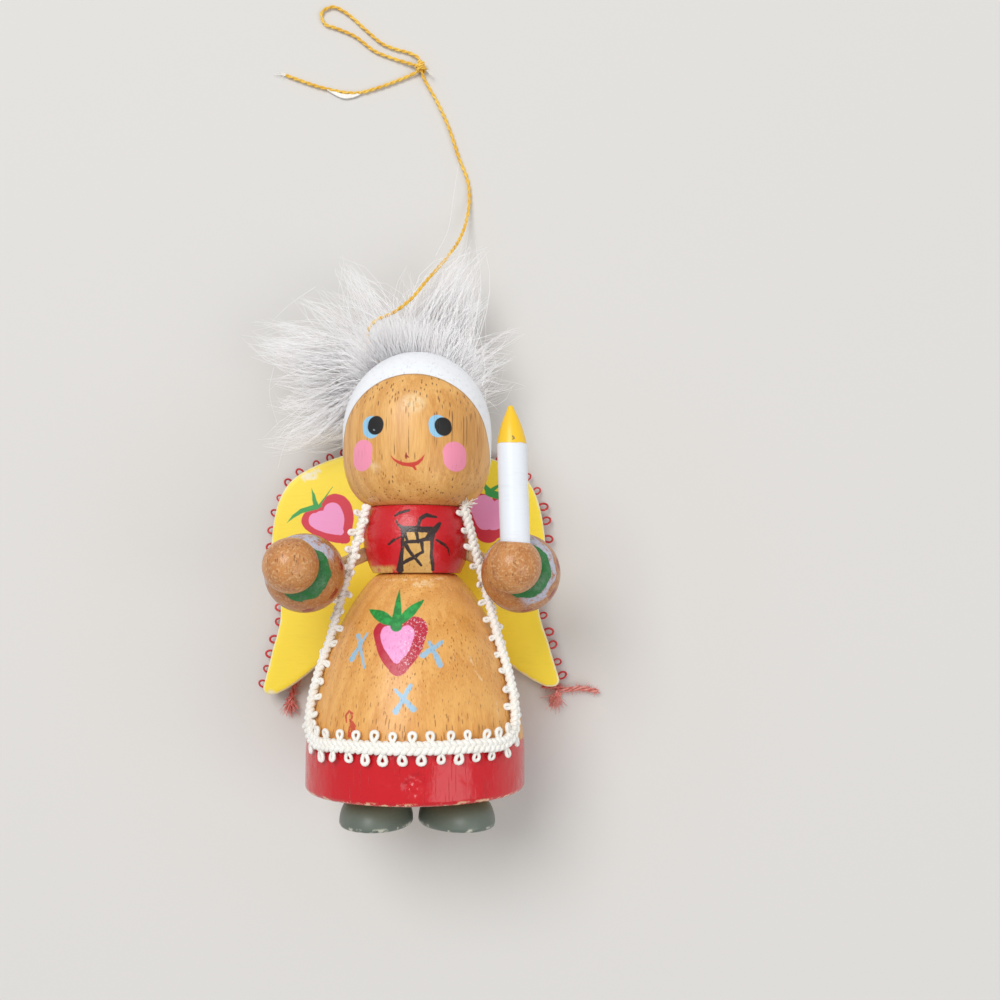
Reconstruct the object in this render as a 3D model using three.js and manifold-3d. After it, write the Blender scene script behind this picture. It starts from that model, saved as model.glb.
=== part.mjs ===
// A small hanging ornament: a turned and painted wooden angel with a candle, thin wings,
// a braid trim, a tuft of white fur for hair and a thin cord with a loop.
// It lies on its back: +X to the viewer's right, +Y towards the head, +Z out of the face.
// All sizes are millimetres. Heights are measured along the figure from the skirt's underside.

import * as THREE from 'three';
import { mergeVertices } from 'three/addons/utils/BufferGeometryUtils.js';
import Module from 'manifold-3d';

const wasm = await Module();
wasm.setup();

// Fits
const GLUE_GAP = 0.3; // between two pieces that are glued face to face
const PEG_GAP = 0.12; // round a dowel in its hole

// Turned body
const SKIRT_HEIGHT = 24.5;
const SKIRT_RADIUS = 12.5;
const SKIRT_RIM_HEIGHT = 4; // the straight band at the hem
const SKIRT_TOP_RADIUS = 4.3;
const SKIRT_HEM_ROUND = 0.7;
const BELL_RISE = 1.7; // how long the bell stays wide above the rim
const BELL_SHOULDER = 0.75; // how round it turns in at the waist
const TORSO_HEIGHT = 7.7;
const TORSO_END_RADIUS = 5.2;
const TORSO_RADIUS = 6.2;
const HEAD_RADIUS = 8.7;
const HEAD_SEAT_RADIUS = 3.3; // the flat under the head
const SPINE_RADIUS = 2;
const SPINE_IN_SKIRT = 9;
const SPINE_IN_HEAD = 6;

// Arms: each one is turned as a sleeve that ends in a ball for the hand
const SLEEVE_RADIUS = 4.4;
const SLEEVE_BACK = 5.5;
const SLEEVE_FRONT = 3.3;
const CUFF_RADIUS = 2.05; // the neck between sleeve and hand
const HAND_RADIUS = 3;
const ARM_REACH = 12; // from the body's axis to the sleeve's widest section
const ARM_DROP = 0.3; // the sleeve's widest section, below the torso's underside
const ARM_FORWARD = 6.3;
const ARM_PITCH = 7.6; // degrees, hands raised
const LEFT_ARM_YAW = -6; // degrees, both arms were glued pointing a little to the left
const RIGHT_ARM_YAW = -9;
const ARM_PEG_RADIUS = 0.8;
const SHOULDER_DEPTH = 2; // how deep the peg sits in the torso
const SHOULDER_LEVEL = 2.8; // above the torso's underside
const PEG_IN_SLEEVE = 3.7; // where the peg ends, behind the sleeve's widest section

// Candle: a thin dowel with a pointed flame
const CANDLE_RADIUS = 1.6;
const CANDLE_LENGTH = 15.7;
const FLAME_LENGTH = 4.2;
const FLAME_TIP_RADIUS = 0.35;
const CANDLE_SEAT = 1.5; // how deep it stands in the hand
const CANDLE_OFFSET = 0.2; // its hole is a little right of the hand's middle
const CANDLE_LEAN = 1.9; // degrees, it was glued leaning to the left

// Feet: half eggs with flat soles
const FOOT_HALF_WIDTH = 4.1;
const FOOT_HALF_LENGTH = 6;
const FOOT_HEIGHT = 3.2;
const FOOT_TOP_RADIUS = 2.2;
const FOOT_EDGE = 0.4; // the worn edge round the sole
const LEFT_FOOT_REACH = 4.2; // from the body's axis to the foot's peg
const RIGHT_FOOT_REACH = 4.8;
const RIGHT_FOOT_TURN = 20; // degrees, its toe was glued turned out
const FOOT_FORWARD = 2.5;
const FOOT_PEG_RADIUS = 1;
const FOOT_PEG_IN_SKIRT = 4;
const FOOT_PEG_IN_FOOT = 2;

// Wings: one thin plate behind the head and the skirt. Drops are measured from the head's centre.
const WING_THICKNESS = 1.6;
const WING_BEVEL = 0.2;
const WING_TOP_DROP = 0.65;
const WING_TOP_REACH = 5.5;
const WING_NOTCH = 0.6; // the dip between the two lobes
const WING_SHOULDER_DROP = 4.3; // where the lobe turns over to the top
const WING_SHOULDER_REACH = 14.5;
const WING_LOBE_DROP = 12.05;
const WING_LOBE_REACH = 17.05;
const WING_WAIST_DROP = 20.35;
const WING_WAIST_REACH = 16;
const WING_TIP_DROP = 30.6;
const WING_TIP_REACH = 18.3;
const WING_TIP_WIDTH = 1.7;
const WING_TIP_SAG = 0.3; // how far its round end hangs below the arch
const WING_ARCH_FLAT = 8.1; // how far the arch below runs level
const WING_ARCH_TURN = 11.6; // where it turns out towards the tip
const WING_ARCH_LIFT = 2; // and how far above the tip that is
const WING_SHIFT = -0.95; // the plate was glued a little off centre
const WING_TURN = -1.6; // and a little turned, in degrees

// Trims
const TRIM_WIDTH = 1.6;
const TRIM_THICKNESS = 1.6;
const TRIM_LOOP = 1; // how far the loops stand past the wing's edge
const TRIM_PITCH = 2.2;
const TRIM_END = 0.86; // share of the wing's edge, the braid ends behind the head
const LACE_WIDTH = 1.3;
const LACE_THICKNESS = 0.7;
const LACE_LOOP = 0.45;
const LACE_PITCH = 2;
const LACE_HEM_LEVEL = 6.2;
const LACE_SIDE_ANGLE = 76; // degrees round from the front
const LACE_CORNER_TURN = 14; // degrees that the corner at the hem takes
const LACE_HIP_DROP = 7.5; // below the skirt's top, where it leaves for the shoulder
const LACE_SHOULDER_ANGLE = 55;
const LACE_SHOULDER_RADIUS = 6.2;

// Hair: fur on a scrap of hide, glued to the crown and the back of the head
const HIDE_THICKNESS = 0.7;
const HIDE_HALF_ANGLE = 42; // degrees
const HIDE_TILT = 45; // degrees back from the top of the head
const FUR_DEPTH = 2; // the dense fur over the hide
const FUR_BARE_EDGE = 4; // degrees of the hide that no fur covers
const TUFT_RADIUS = 3.2;
const TUFT_TIP_RADIUS = 0.5;

// Cord
const CORD_RADIUS = 0.325;
const CORD_SIDES = 8;
const CORD_STEP = 2.5; // in diameters
const FUR_ROUND_CORD = 0.35; // room that the fur leaves round the cord
const KNOT_RADIUS = 0.75;
const KNOT_LENGTH = 1.7;
const KNOT_PLACE = [-0.7, 90.8, 0.76];
const KNOT_LEAN = 20; // degrees
const KNOT_WRAPS = 3;
const KNOT_GROOVE = 0.28; // depth between the wraps, as a share

// Where the tufts end, from the left side over the top to the right, from the head's centre
const TUFT_TIPS = [
  [-15.8, 1.15, -5.5],
  [-17.8, 5.65, -6],
  [-19.2, 11.15, -6],
  [-14.6, 17.15, -5.5],
  [-9.2, 21.55, -5],
  [-5, 19.65, -6.5],
  [2.2, 20.15, -7],
  [6, 21.55, -5],
  [8.8, 17.15, -5.5],
  [11, 10.65, -6],
  [9.8, 6.15, -7],
];

// Where the cord lies: across, along the figure, and up from the surface that it lies on
const CORD_ROUTE = [
  [-4.3, 49.3, 12],
  [-5.3, 50.9, 12.5],
  [-6, 52.6, 12.6],
  [-5.2, 54.3, 12.3],
  [-3, 55.5, 11.9],
  [-1, 57.4, 10.9],
  [0.9, 60.3, 9.1],
  [3, 63.7, 6.3],
  [4.5, 66.9, 3.6],
  [5.3, 69.8, 1.6],
  [5.7, 72.9, 0.6],
  [5.5, 75.6, 0.36],
  [4.3, 78.9, 0.36],
  [2.9, 83.1, 0.36],
  [1.3, 86.6, 0.36],
  [-0.3, 89.5, 0.5],
];

const LOOP_ROUTE = [
  [-1, 92.1, 0.6],
  [-2.2, 92.9, 0.4],
  [-4.2, 93.5, 0.36],
  [-5.8, 94.2, 0.36],
  [-7.8, 95.9, 0.36],
  [-10.6, 98.4, 0.36],
  [-12.4, 99.2, 0.36],
  [-13.8, 98.4, 0.36],
  [-13.4, 96.9, 0.36],
  [-11.9, 96.3, 0.36],
  [-9.4, 95.2, 0.36],
  [-6.8, 93.2, 0.36],
  [-4.4, 92.2, 0.36],
  [-1.9, 91.3, 0.6],
];

const TAIL_ROUTE = [
  [-1.8, 90, 0.45],
  [-4.2, 89, 0.36],
  [-6.7, 88.1, 0.36],
  [-9.2, 87.5, 0.36],
  [-13.5, 88.2, 0.36],
  [-18.4, 89.9, 0.36],
];

// How many flat faces stand for each round form
const SKIRT_SIDES = 44;
const TORSO_SIDES = 32;
const HEAD_SIDES = 36;
const ARM_SIDES = 24;
const CANDLE_SIDES = 24;
const FOOT_SIDES = 28;
const SPINE_SIDES = 20;
const PEG_SIDES = 16;
const HIDE_SIDES = 20;
const TUFT_SIDES = 7;
const KNOT_SIDES = 12;

// Places along the figure that follow from the sizes above
const rad = THREE.MathUtils.degToRad;
const torsoBottom = SKIRT_HEIGHT + GLUE_GAP;
const torsoTop = torsoBottom + TORSO_HEIGHT;
const headFlat = torsoTop + GLUE_GAP;
const headCentre = headFlat + Math.sqrt(HEAD_RADIUS ** 2 - HEAD_SEAT_RADIUS ** 2);
const spineHole = SPINE_RADIUS + PEG_GAP;
const spineBottom = SKIRT_HEIGHT - SPINE_IN_SKIRT;
const spineTop = headFlat + SPINE_IN_HEAD;
const soleLevel = -GLUE_GAP - FOOT_HEIGHT;
const wingTop = headCentre - WING_TOP_DROP;
const wingTip = headCentre - WING_TIP_DROP;
const laceHip = SKIRT_HEIGHT - LACE_HIP_DROP;
const upright = new THREE.Vector3(0, 1, 0);
const wingFront = HEAD_RADIUS + GLUE_GAP;
const wingBack = wingFront + WING_THICKNESS;
const trimBack = wingBack + GLUE_GAP + TRIM_THICKNESS;
const restHeight = Math.max(SKIRT_RADIUS, trimBack); // the axis above the surface it lies on
const crownTip = new THREE.Vector3(0, Math.cos(rad(HIDE_TILT)), -Math.sin(rad(HIDE_TILT)));

function finish(color, roughness) {
  return new THREE.MeshStandardMaterial({ color, roughness, metalness: 0 });
}

const honeyWood = finish(0xe1a55a, 0.4);
const darkWood = finish(0xbe783c, 0.4);
const bareWood = finish(0xd9b98a, 0.8);
const redPaint = finish(0xcd1928, 0.3);
const yellowPaint = finish(0xfad73c, 0.45);
const whitePaint = finish(0xf0f5fa, 0.45);
const shoePaint = finish(0x5f695f, 0.5);
const whiteBraid = finish(0xf5f0e6, 0.9);
const redBraid = finish(0xd73c41, 0.9);
const hide = finish(0xe8dcc8, 0.9);
const fur = finish(0xf2e6e4, 0.9);
const goldCord = finish(0xe1af46, 0.7);

// Closed solids for cutting and joining

function toSolid(geometry) {
  const bare = geometry.clone();
  bare.deleteAttribute('normal');
  bare.deleteAttribute('uv');
  const merged = mergeVertices(bare, 1e-4);
  const index = merged.index.array;
  const triangles = [];
  for (let i = 0; i < index.length; i += 3) {
    const [a, b, c] = [index[i], index[i + 1], index[i + 2]];
    if (a !== b && b !== c && c !== a) triangles.push(a, b, c);
  }
  const mesh = new wasm.Mesh({
    numProp: 3,
    vertProperties: new Float32Array(merged.attributes.position.array),
    triVerts: new Uint32Array(triangles),
  });
  return new wasm.Manifold(mesh);
}

function toGeometry(solid) {
  const mesh = solid.getMesh();
  const geometry = new THREE.BufferGeometry();
  geometry.setAttribute('position', new THREE.Float32BufferAttribute(mesh.vertProperties, 3));
  geometry.setIndex(new THREE.Uint32BufferAttribute(mesh.triVerts, 1));
  return geometry.toNonIndexed();
}

function cut(geometry, cutters) {
  const solids = cutters.map(toSolid);
  const result = solids.reduce((rest, cutter) => rest.subtract(cutter), toSolid(geometry));
  return toGeometry(result);
}

function join(geometries) {
  return geometries.map(toSolid).reduce((whole, piece) => whole.add(piece));
}

// Shapes that repeat

function turned(profile, segments) {
  return new THREE.LatheGeometry(profile.map(([r, y]) => new THREE.Vector2(r, y)), segments);
}

function dowel(radius, from, to, sides) {
  const along = new THREE.Vector3().subVectors(to, from);
  const geometry = new THREE.CylinderGeometry(radius, radius, along.length(), sides);
  const direction = along.clone().normalize();
  geometry.applyQuaternion(new THREE.Quaternion().setFromUnitVectors(upright, direction));
  const middle = new THREE.Vector3().addVectors(from, to).multiplyScalar(0.5);
  return geometry.translate(middle.x, middle.y, middle.z);
}

function roundTube(points, radius, sides, step) {
  const route = new THREE.CatmullRomCurve3(points.map((p) => new THREE.Vector3(...p)));
  const section = new THREE.Shape();
  for (let i = 0; i < sides; i += 1) {
    const angle = (2 * Math.PI * i) / sides;
    const corner = [radius * Math.cos(angle), radius * Math.sin(angle)];
    if (i === 0) section.moveTo(...corner);
    else section.lineTo(...corner);
  }
  const steps = Math.ceil(route.getLength() / step);
  return new THREE.ExtrudeGeometry(section, { extrudePath: route, steps, bevelEnabled: false });
}

function piece(name, geometry, material) {
  const mesh = new THREE.Mesh(geometry, material);
  mesh.name = name;
  return mesh;
}

// Skirt: a bell with a straight hem band, drilled for the spine and the feet

function skirtRadius(level) {
  const t = Math.max(0, (level - SKIRT_RIM_HEIGHT) / (SKIRT_HEIGHT - SKIRT_RIM_HEIGHT));
  const share = (1 - t ** BELL_RISE) ** BELL_SHOULDER;
  return SKIRT_TOP_RADIUS + (SKIRT_RADIUS - SKIRT_TOP_RADIUS) * share;
}

function skirtLevel(radius) {
  const share = (radius - SKIRT_TOP_RADIUS) / (SKIRT_RADIUS - SKIRT_TOP_RADIUS);
  const t = (1 - share ** (1 / BELL_SHOULDER)) ** (1 / BELL_RISE);
  return SKIRT_RIM_HEIGHT + t * (SKIRT_HEIGHT - SKIRT_RIM_HEIGHT);
}

const footReach = { [-1]: LEFT_FOOT_REACH, [1]: RIGHT_FOOT_REACH };
const footTurn = { [-1]: 0, [1]: RIGHT_FOOT_TURN };

function footPeg(side, radius, gap) {
  const x = side * footReach[side];
  const low = new THREE.Vector3(x, -GLUE_GAP - FOOT_PEG_IN_FOOT - gap, FOOT_FORWARD);
  const high = new THREE.Vector3(x, FOOT_PEG_IN_SKIRT + gap, FOOT_FORWARD);
  return dowel(radius, low, high, PEG_SIDES);
}

function skirt() {
  const rings = 10;
  const profile = [[0, 0], [SKIRT_RADIUS - SKIRT_HEM_ROUND, 0], [SKIRT_RADIUS, SKIRT_HEM_ROUND]];
  for (let i = 0; i <= rings; i += 1) {
    const t = Math.sin((i / rings) * (Math.PI / 2));
    const level = SKIRT_RIM_HEIGHT + t * (SKIRT_HEIGHT - SKIRT_RIM_HEIGHT);
    profile.push([skirtRadius(level), level]);
  }
  const holeBottom = spineBottom - PEG_GAP;
  profile.push([spineHole, SKIRT_HEIGHT], [spineHole, holeBottom], [0, holeBottom]);
  const bell = turned(profile, SKIRT_SIDES);
  return cut(bell, [-1, 1].map((side) => footPeg(side, FOOT_PEG_RADIUS + PEG_GAP, PEG_GAP)));
}

// Torso: a barrel on the spine, drilled for the arm pegs

function torsoRadius(level) {
  const t = (2 * (level - torsoBottom)) / TORSO_HEIGHT - 1;
  return TORSO_RADIUS - (TORSO_RADIUS - TORSO_END_RADIUS) * t * t;
}

function torso() {
  const rings = 6;
  const profile = [[spineHole, torsoTop], [spineHole, torsoBottom]];
  for (let i = 0; i <= rings; i += 1) {
    const level = torsoBottom + (TORSO_HEIGHT * i) / rings;
    profile.push([torsoRadius(level), level]);
  }
  profile.push([spineHole, torsoTop]);
  const barrel = turned(profile, TORSO_SIDES);
  return cut(barrel, [-1, 1].map((side) => armPeg(side, ARM_PEG_RADIUS + PEG_GAP, PEG_GAP)));
}

function head() {
  const rings = 14;
  const start = Math.asin(HEAD_SEAT_RADIUS / HEAD_RADIUS);
  const holeTop = spineTop + PEG_GAP;
  const profile = [[0, holeTop], [spineHole, holeTop], [spineHole, headFlat]];
  for (let i = 0; i < rings; i += 1) {
    const angle = start + ((Math.PI - start) * i) / rings;
    profile.push([HEAD_RADIUS * Math.sin(angle), headCentre - HEAD_RADIUS * Math.cos(angle)]);
  }
  profile.push([0, headCentre + HEAD_RADIUS]);
  return turned(profile, HEAD_SIDES);
}

// Arms

const armYaw = { [-1]: LEFT_ARM_YAW, [1]: RIGHT_ARM_YAW };

function armPlace(side) {
  const turn = new THREE.Euler(-rad(ARM_PITCH), rad(armYaw[side]), 0, 'YXZ');
  const place = new THREE.Vector3(side * ARM_REACH, torsoBottom - ARM_DROP, ARM_FORWARD);
  const even = new THREE.Vector3(1, 1, 1);
  return new THREE.Matrix4().compose(place, new THREE.Quaternion().setFromEuler(turn), even);
}

function alongArm(side, distance) {
  return new THREE.Vector3(0, 0, distance).applyMatrix4(armPlace(side));
}

function armPeg(side, radius, gap) {
  const level = torsoBottom + SHOULDER_LEVEL;
  const shoulder = new THREE.Vector3(side * (torsoRadius(level) - SHOULDER_DEPTH), level, 0);
  const elbow = alongArm(side, -PEG_IN_SLEEVE);
  const past = new THREE.Vector3().subVectors(elbow, shoulder).setLength(gap);
  return dowel(radius, shoulder.sub(past), elbow.add(past), PEG_SIDES);
}

const handCentre = SLEEVE_FRONT + Math.sqrt(HAND_RADIUS ** 2 - CUFF_RADIUS ** 2);

function arm(side) {
  const rings = 7;
  const profile = [];
  for (let i = 0; i <= rings; i += 1) {
    const angle = (Math.PI / 2) * (i / rings);
    profile.push([SLEEVE_RADIUS * Math.sin(angle), -SLEEVE_BACK * Math.cos(angle)]);
  }
  const shoulderRings = 4;
  for (let i = 1; i <= shoulderRings; i += 1) {
    const angle = (Math.PI / 2) * (i / shoulderRings);
    const radius = CUFF_RADIUS + (SLEEVE_RADIUS - CUFF_RADIUS) * Math.cos(angle);
    profile.push([radius, SLEEVE_FRONT * Math.sin(angle)]);
  }
  const handRings = 8;
  const neck = Math.asin(CUFF_RADIUS / HAND_RADIUS);
  for (let i = 1; i <= handRings; i += 1) {
    const angle = neck + ((Math.PI - neck) * i) / handRings;
    profile.push([HAND_RADIUS * Math.sin(angle), handCentre - HAND_RADIUS * Math.cos(angle)]);
  }
  profile[0][0] = 0;
  profile[profile.length - 1][0] = 0;
  const body = turned(profile, ARM_SIDES).rotateX(Math.PI / 2);
  const toArm = armPlace(side).invert();
  const cutters = [armPeg(side, ARM_PEG_RADIUS + PEG_GAP, PEG_GAP)];
  if (side > 0) cutters.push(candleHole());
  return cut(body, cutters.map((cutter) => cutter.applyMatrix4(toArm)));
}

function placedArm(name, side) {
  const mesh = piece(name, arm(side), darkWood);
  mesh.applyMatrix4(armPlace(side));
  return mesh;
}

// Candle, standing in the right hand

const hand = alongArm(1, handCentre);
const candleFoot = hand.clone().add(new THREE.Vector3(CANDLE_OFFSET, HAND_RADIUS - CANDLE_SEAT, 0));

function candleHole() {
  const up = new THREE.Vector3(-Math.sin(rad(CANDLE_LEAN)), Math.cos(rad(CANDLE_LEAN)), 0);
  const low = candleFoot.clone().addScaledVector(up, -PEG_GAP);
  const high = candleFoot.clone().addScaledVector(up, 2 * HAND_RADIUS);
  return dowel(CANDLE_RADIUS + PEG_GAP, low, high, CANDLE_SIDES);
}

function candle() {
  const flameBottom = CANDLE_LENGTH - FLAME_LENGTH;
  const profile = [
    [0, 0],
    [CANDLE_RADIUS, 0],
    [CANDLE_RADIUS, flameBottom],
    [FLAME_TIP_RADIUS, CANDLE_LENGTH - FLAME_TIP_RADIUS],
    [FLAME_TIP_RADIUS / 2, CANDLE_LENGTH - FLAME_TIP_RADIUS / 4],
    [0, CANDLE_LENGTH],
  ];
  const mesh = piece('candle', turned(profile, CANDLE_SIDES), whitePaint);
  mesh.position.copy(candleFoot);
  mesh.rotation.z = rad(CANDLE_LEAN);
  return mesh;
}

// Feet

function foot(side) {
  const rings = 6;
  const profile = [[0, 0], [FOOT_HALF_WIDTH - FOOT_EDGE, 0]];
  for (let i = 0; i <= rings; i += 1) {
    const t = i / rings;
    const dome = Math.sqrt(1 - (t * t));
    const radius = FOOT_TOP_RADIUS + (FOOT_HALF_WIDTH - FOOT_TOP_RADIUS) * dome;
    profile.push([radius, FOOT_EDGE + (FOOT_HEIGHT - FOOT_EDGE) * t]);
  }
  profile.push([0, FOOT_HEIGHT]);
  const egg = turned(profile, FOOT_SIDES);
  egg.scale(1, 1, FOOT_HALF_LENGTH / FOOT_HALF_WIDTH);
  egg.rotateY(rad(footTurn[side]));
  egg.translate(side * footReach[side], soleLevel, FOOT_FORWARD);
  return cut(egg, [footPeg(side, FOOT_PEG_RADIUS + PEG_GAP, PEG_GAP)]);
}

// Wings and their trims. Each wing's outer edge runs from its tip up to the crown.

const wingEdge = new THREE.SplineCurve([
  new THREE.Vector2(WING_TIP_REACH, wingTip + WING_TIP_WIDTH / 2),
  new THREE.Vector2(
    (WING_TIP_REACH + WING_WAIST_REACH) / 2,
    headCentre - (WING_TIP_DROP + WING_WAIST_DROP) / 2,
  ),
  new THREE.Vector2(WING_WAIST_REACH, headCentre - WING_WAIST_DROP),
  new THREE.Vector2(WING_LOBE_REACH, headCentre - WING_LOBE_DROP),
  new THREE.Vector2(WING_SHOULDER_REACH, headCentre - WING_SHOULDER_DROP),
  new THREE.Vector2(WING_TOP_REACH, wingTop),
  new THREE.Vector2(0, wingTop - WING_NOTCH),
]);

const archLevel = skirtLevel(wingFront - GLUE_GAP);
const wingArch = new THREE.CubicBezierCurve(
  new THREE.Vector2(0, archLevel),
  new THREE.Vector2(WING_ARCH_FLAT, archLevel),
  new THREE.Vector2(WING_ARCH_TURN, wingTip + WING_ARCH_LIFT),
  new THREE.Vector2(WING_TIP_REACH - WING_TIP_WIDTH, wingTip),
);

const wingTipRound = new THREE.QuadraticBezierCurve(
  wingArch.v3,
  new THREE.Vector2(WING_TIP_REACH, wingTip - WING_TIP_SAG),
  wingEdge.points[0],
);

function wingPlate() {
  const archSteps = 10;
  const edgeSteps = 26;
  const tipSteps = 5;
  const half = [
    ...wingArch.getPoints(archSteps),
    ...wingTipRound.getPoints(tipSteps).slice(1, -1),
    ...wingEdge.getSpacedPoints(edgeSteps),
  ];
  const other = half.slice(1, -1).reverse().map((p) => new THREE.Vector2(-p.x, p.y));
  const outline = new THREE.Shape([...half, ...other]);
  const plate = new THREE.ExtrudeGeometry(outline, {
    depth: WING_THICKNESS - 2 * WING_BEVEL,
    bevelThickness: WING_BEVEL,
    bevelSize: WING_BEVEL,
    bevelOffset: -WING_BEVEL,
    bevelSegments: 1,
  });
  return plate.translate(0, 0, -wingBack + WING_BEVEL);
}

function wingTrim(side) {
  const loops = Math.round((wingEdge.getLength() * TRIM_END) / TRIM_PITCH);
  const perLoop = 5;
  const outer = [];
  const inner = [];
  for (let i = 0; i <= loops * perLoop; i += 1) {
    const u = (TRIM_END * i) / (loops * perLoop);
    const p = wingEdge.getPointAt(u);
    const t = wingEdge.getTangentAt(u);
    const out = new THREE.Vector2(t.y, -t.x);
    const bulge = TRIM_LOOP * Math.abs(Math.sin((Math.PI * i) / perLoop));
    outer.push(p.clone().addScaledVector(out, bulge));
    if (i % perLoop === 0) inner.push(p.clone().addScaledVector(out, -TRIM_WIDTH));
  }
  const outline = [...outer, ...inner.reverse()].map((p) => new THREE.Vector2(side * p.x, p.y));
  const braid = new THREE.ExtrudeGeometry(new THREE.Shape(outline), {
    depth: TRIM_THICKNESS,
    bevelEnabled: false,
  });
  return braid.translate(0, 0, -trimBack);
}

function wings() {
  const group = new THREE.Group();
  group.add(piece('wings', wingPlate(), yellowPaint));
  group.add(piece('left_wing_trim', wingTrim(-1), redBraid));
  group.add(piece('right_wing_trim', wingTrim(1), redBraid));
  group.position.x = WING_SHIFT;
  group.rotation.z = -rad(WING_TURN);
  return group;
}

// Lace: one braid from shoulder to shoulder, down the sides and along the hem of the apron

function onSkirt(angle, level) {
  const radius = skirtRadius(level) + GLUE_GAP + LACE_THICKNESS / 2;
  return new THREE.Vector3(radius * Math.sin(rad(angle)), level, radius * Math.cos(rad(angle)));
}

function laceRoute() {
  const third = (laceHip - LACE_HEM_LEVEL) / 3;
  const shoulder = new THREE.Vector3(
    LACE_SHOULDER_RADIUS * Math.sin(rad(LACE_SHOULDER_ANGLE)),
    torsoTop - GLUE_GAP,
    LACE_SHOULDER_RADIUS * Math.cos(rad(LACE_SHOULDER_ANGLE)),
  );
  const hip = onSkirt(LACE_SIDE_ANGLE, laceHip);
  const right = [
    shoulder,
    new THREE.Vector3().lerpVectors(shoulder, hip, 1 / 3),
    new THREE.Vector3().lerpVectors(shoulder, hip, 2 / 3),
    hip,
    onSkirt(LACE_SIDE_ANGLE, LACE_HEM_LEVEL + 2 * third),
    onSkirt(LACE_SIDE_ANGLE, LACE_HEM_LEVEL + third),
    onSkirt(LACE_SIDE_ANGLE - LACE_CORNER_TURN / 3, LACE_HEM_LEVEL + third / 3),
    onSkirt(LACE_SIDE_ANGLE - LACE_CORNER_TURN, LACE_HEM_LEVEL),
    onSkirt(LACE_SIDE_ANGLE / 2, LACE_HEM_LEVEL),
  ];
  const left = right.map((p) => new THREE.Vector3(-p.x, p.y, p.z)).reverse();
  return new THREE.CatmullRomCurve3([...right, onSkirt(0, LACE_HEM_LEVEL), ...left]);
}

function lace() {
  const route = laceRoute();
  const perLoop = 4;
  const stations = Math.round(route.getLength() / LACE_PITCH) * perLoop;
  const positions = [];
  for (let i = 0; i <= stations; i += 1) {
    const p = route.getPointAt(i / stations);
    const along = route.getTangentAt(i / stations);
    const outward = new THREE.Vector3(p.x, 0, p.z).normalize();
    const across = new THREE.Vector3().crossVectors(along, outward).normalize();
    outward.crossVectors(across, along).normalize();
    const swing = Math.sin((2 * Math.PI * i) / perLoop);
    for (const [side, face] of [[1, -1], [1, 1], [-1, 1], [-1, -1]]) {
      const reach = LACE_WIDTH / 2 + LACE_LOOP * Math.max(0, side * swing);
      const corner = p.clone();
      corner.addScaledVector(across, side * reach);
      corner.addScaledVector(outward, (face * LACE_THICKNESS) / 2);
      positions.push(corner.x, corner.y, corner.z);
    }
  }
  const index = [0, 1, 2, 0, 2, 3];
  for (let i = 0; i < stations; i += 1) {
    for (let k = 0; k < 4; k += 1) {
      const a = 4 * i + k;
      const b = 4 * i + ((k + 1) % 4);
      index.push(a, a + 4, b, b, a + 4, b + 4);
    }
  }
  const last = 4 * stations;
  index.push(last, last + 2, last + 1, last, last + 3, last + 2);
  const ribbon = new THREE.BufferGeometry();
  ribbon.setAttribute('position', new THREE.Float32BufferAttribute(positions, 3));
  ribbon.setIndex(index);
  return ribbon;
}

// Hair: a cap of hide on the crown and the fur that stands out of it in tufts

const hideOuter = HEAD_RADIUS + GLUE_GAP + HIDE_THICKNESS;

function cap(inner, outer, halfAngle) {
  const rings = 5;
  const profile = [];
  for (let i = 0; i <= rings; i += 1) {
    const angle = (rad(halfAngle) * i) / rings;
    profile.push([inner * Math.sin(angle), inner * Math.cos(angle)]);
  }
  for (let i = rings; i >= 0; i -= 1) {
    const angle = (rad(halfAngle) * i) / rings;
    profile.push([outer * Math.sin(angle), outer * Math.cos(angle)]);
  }
  return turned(profile, HIDE_SIDES).rotateX(-rad(HIDE_TILT)).translate(0, headCentre, 0);
}

function tuft(tip) {
  const centre = new THREE.Vector3(0, headCentre, 0);
  const end = new THREE.Vector3(...tip).add(centre);
  const root = new THREE.Vector3().subVectors(end, centre).normalize().add(crownTip).normalize();
  root.multiplyScalar(hideOuter + GLUE_GAP + FUR_DEPTH / 2).add(centre);
  const along = new THREE.Vector3().subVectors(end, root);
  const cone = new THREE.CylinderGeometry(TUFT_TIP_RADIUS, TUFT_RADIUS, along.length(), TUFT_SIDES);
  cone.translate(0, along.length() / 2, 0);
  cone.applyQuaternion(new THREE.Quaternion().setFromUnitVectors(upright, along.normalize()));
  return cone.translate(root.x, root.y, root.z);
}

function furHair() {
  const inner = hideOuter + GLUE_GAP;
  const dense = cap(inner, inner + FUR_DEPTH, HIDE_HALF_ANGLE - FUR_BARE_EDGE);
  const whole = join([dense, ...TUFT_TIPS.map(tuft)]);
  const skull = new THREE.SphereGeometry(inner, 24, 14).translate(0, headCentre, 0);
  const channel = roundTube(CORD_ROUTE, CORD_RADIUS + FUR_ROUND_CORD, 6, 2);
  channel.translate(0, 0, -restHeight);
  return toGeometry(whole.subtract(toSolid(skull)).subtract(toSolid(channel)));
}

// Cord: from the crown down over the fur to the surface, a knot, a loop and a loose end

function knot() {
  const profile = [[0, -KNOT_LENGTH / 2]];
  const rings = 12;
  for (let i = 1; i < rings; i += 1) {
    const t = (2 * i) / rings - 1;
    const groove = (KNOT_GROOVE / 2) * (1 - Math.cos(KNOT_WRAPS * Math.PI * t));
    profile.push([KNOT_RADIUS * (1 - groove) * Math.sqrt(1 - t ** 4), (KNOT_LENGTH / 2) * t]);
  }
  profile.push([0, KNOT_LENGTH / 2]);
  const mesh = piece('hanger_knot', turned(profile, KNOT_SIDES), goldCord);
  mesh.position.set(...KNOT_PLACE);
  mesh.rotation.z = rad(KNOT_LEAN);
  return mesh;
}

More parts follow.
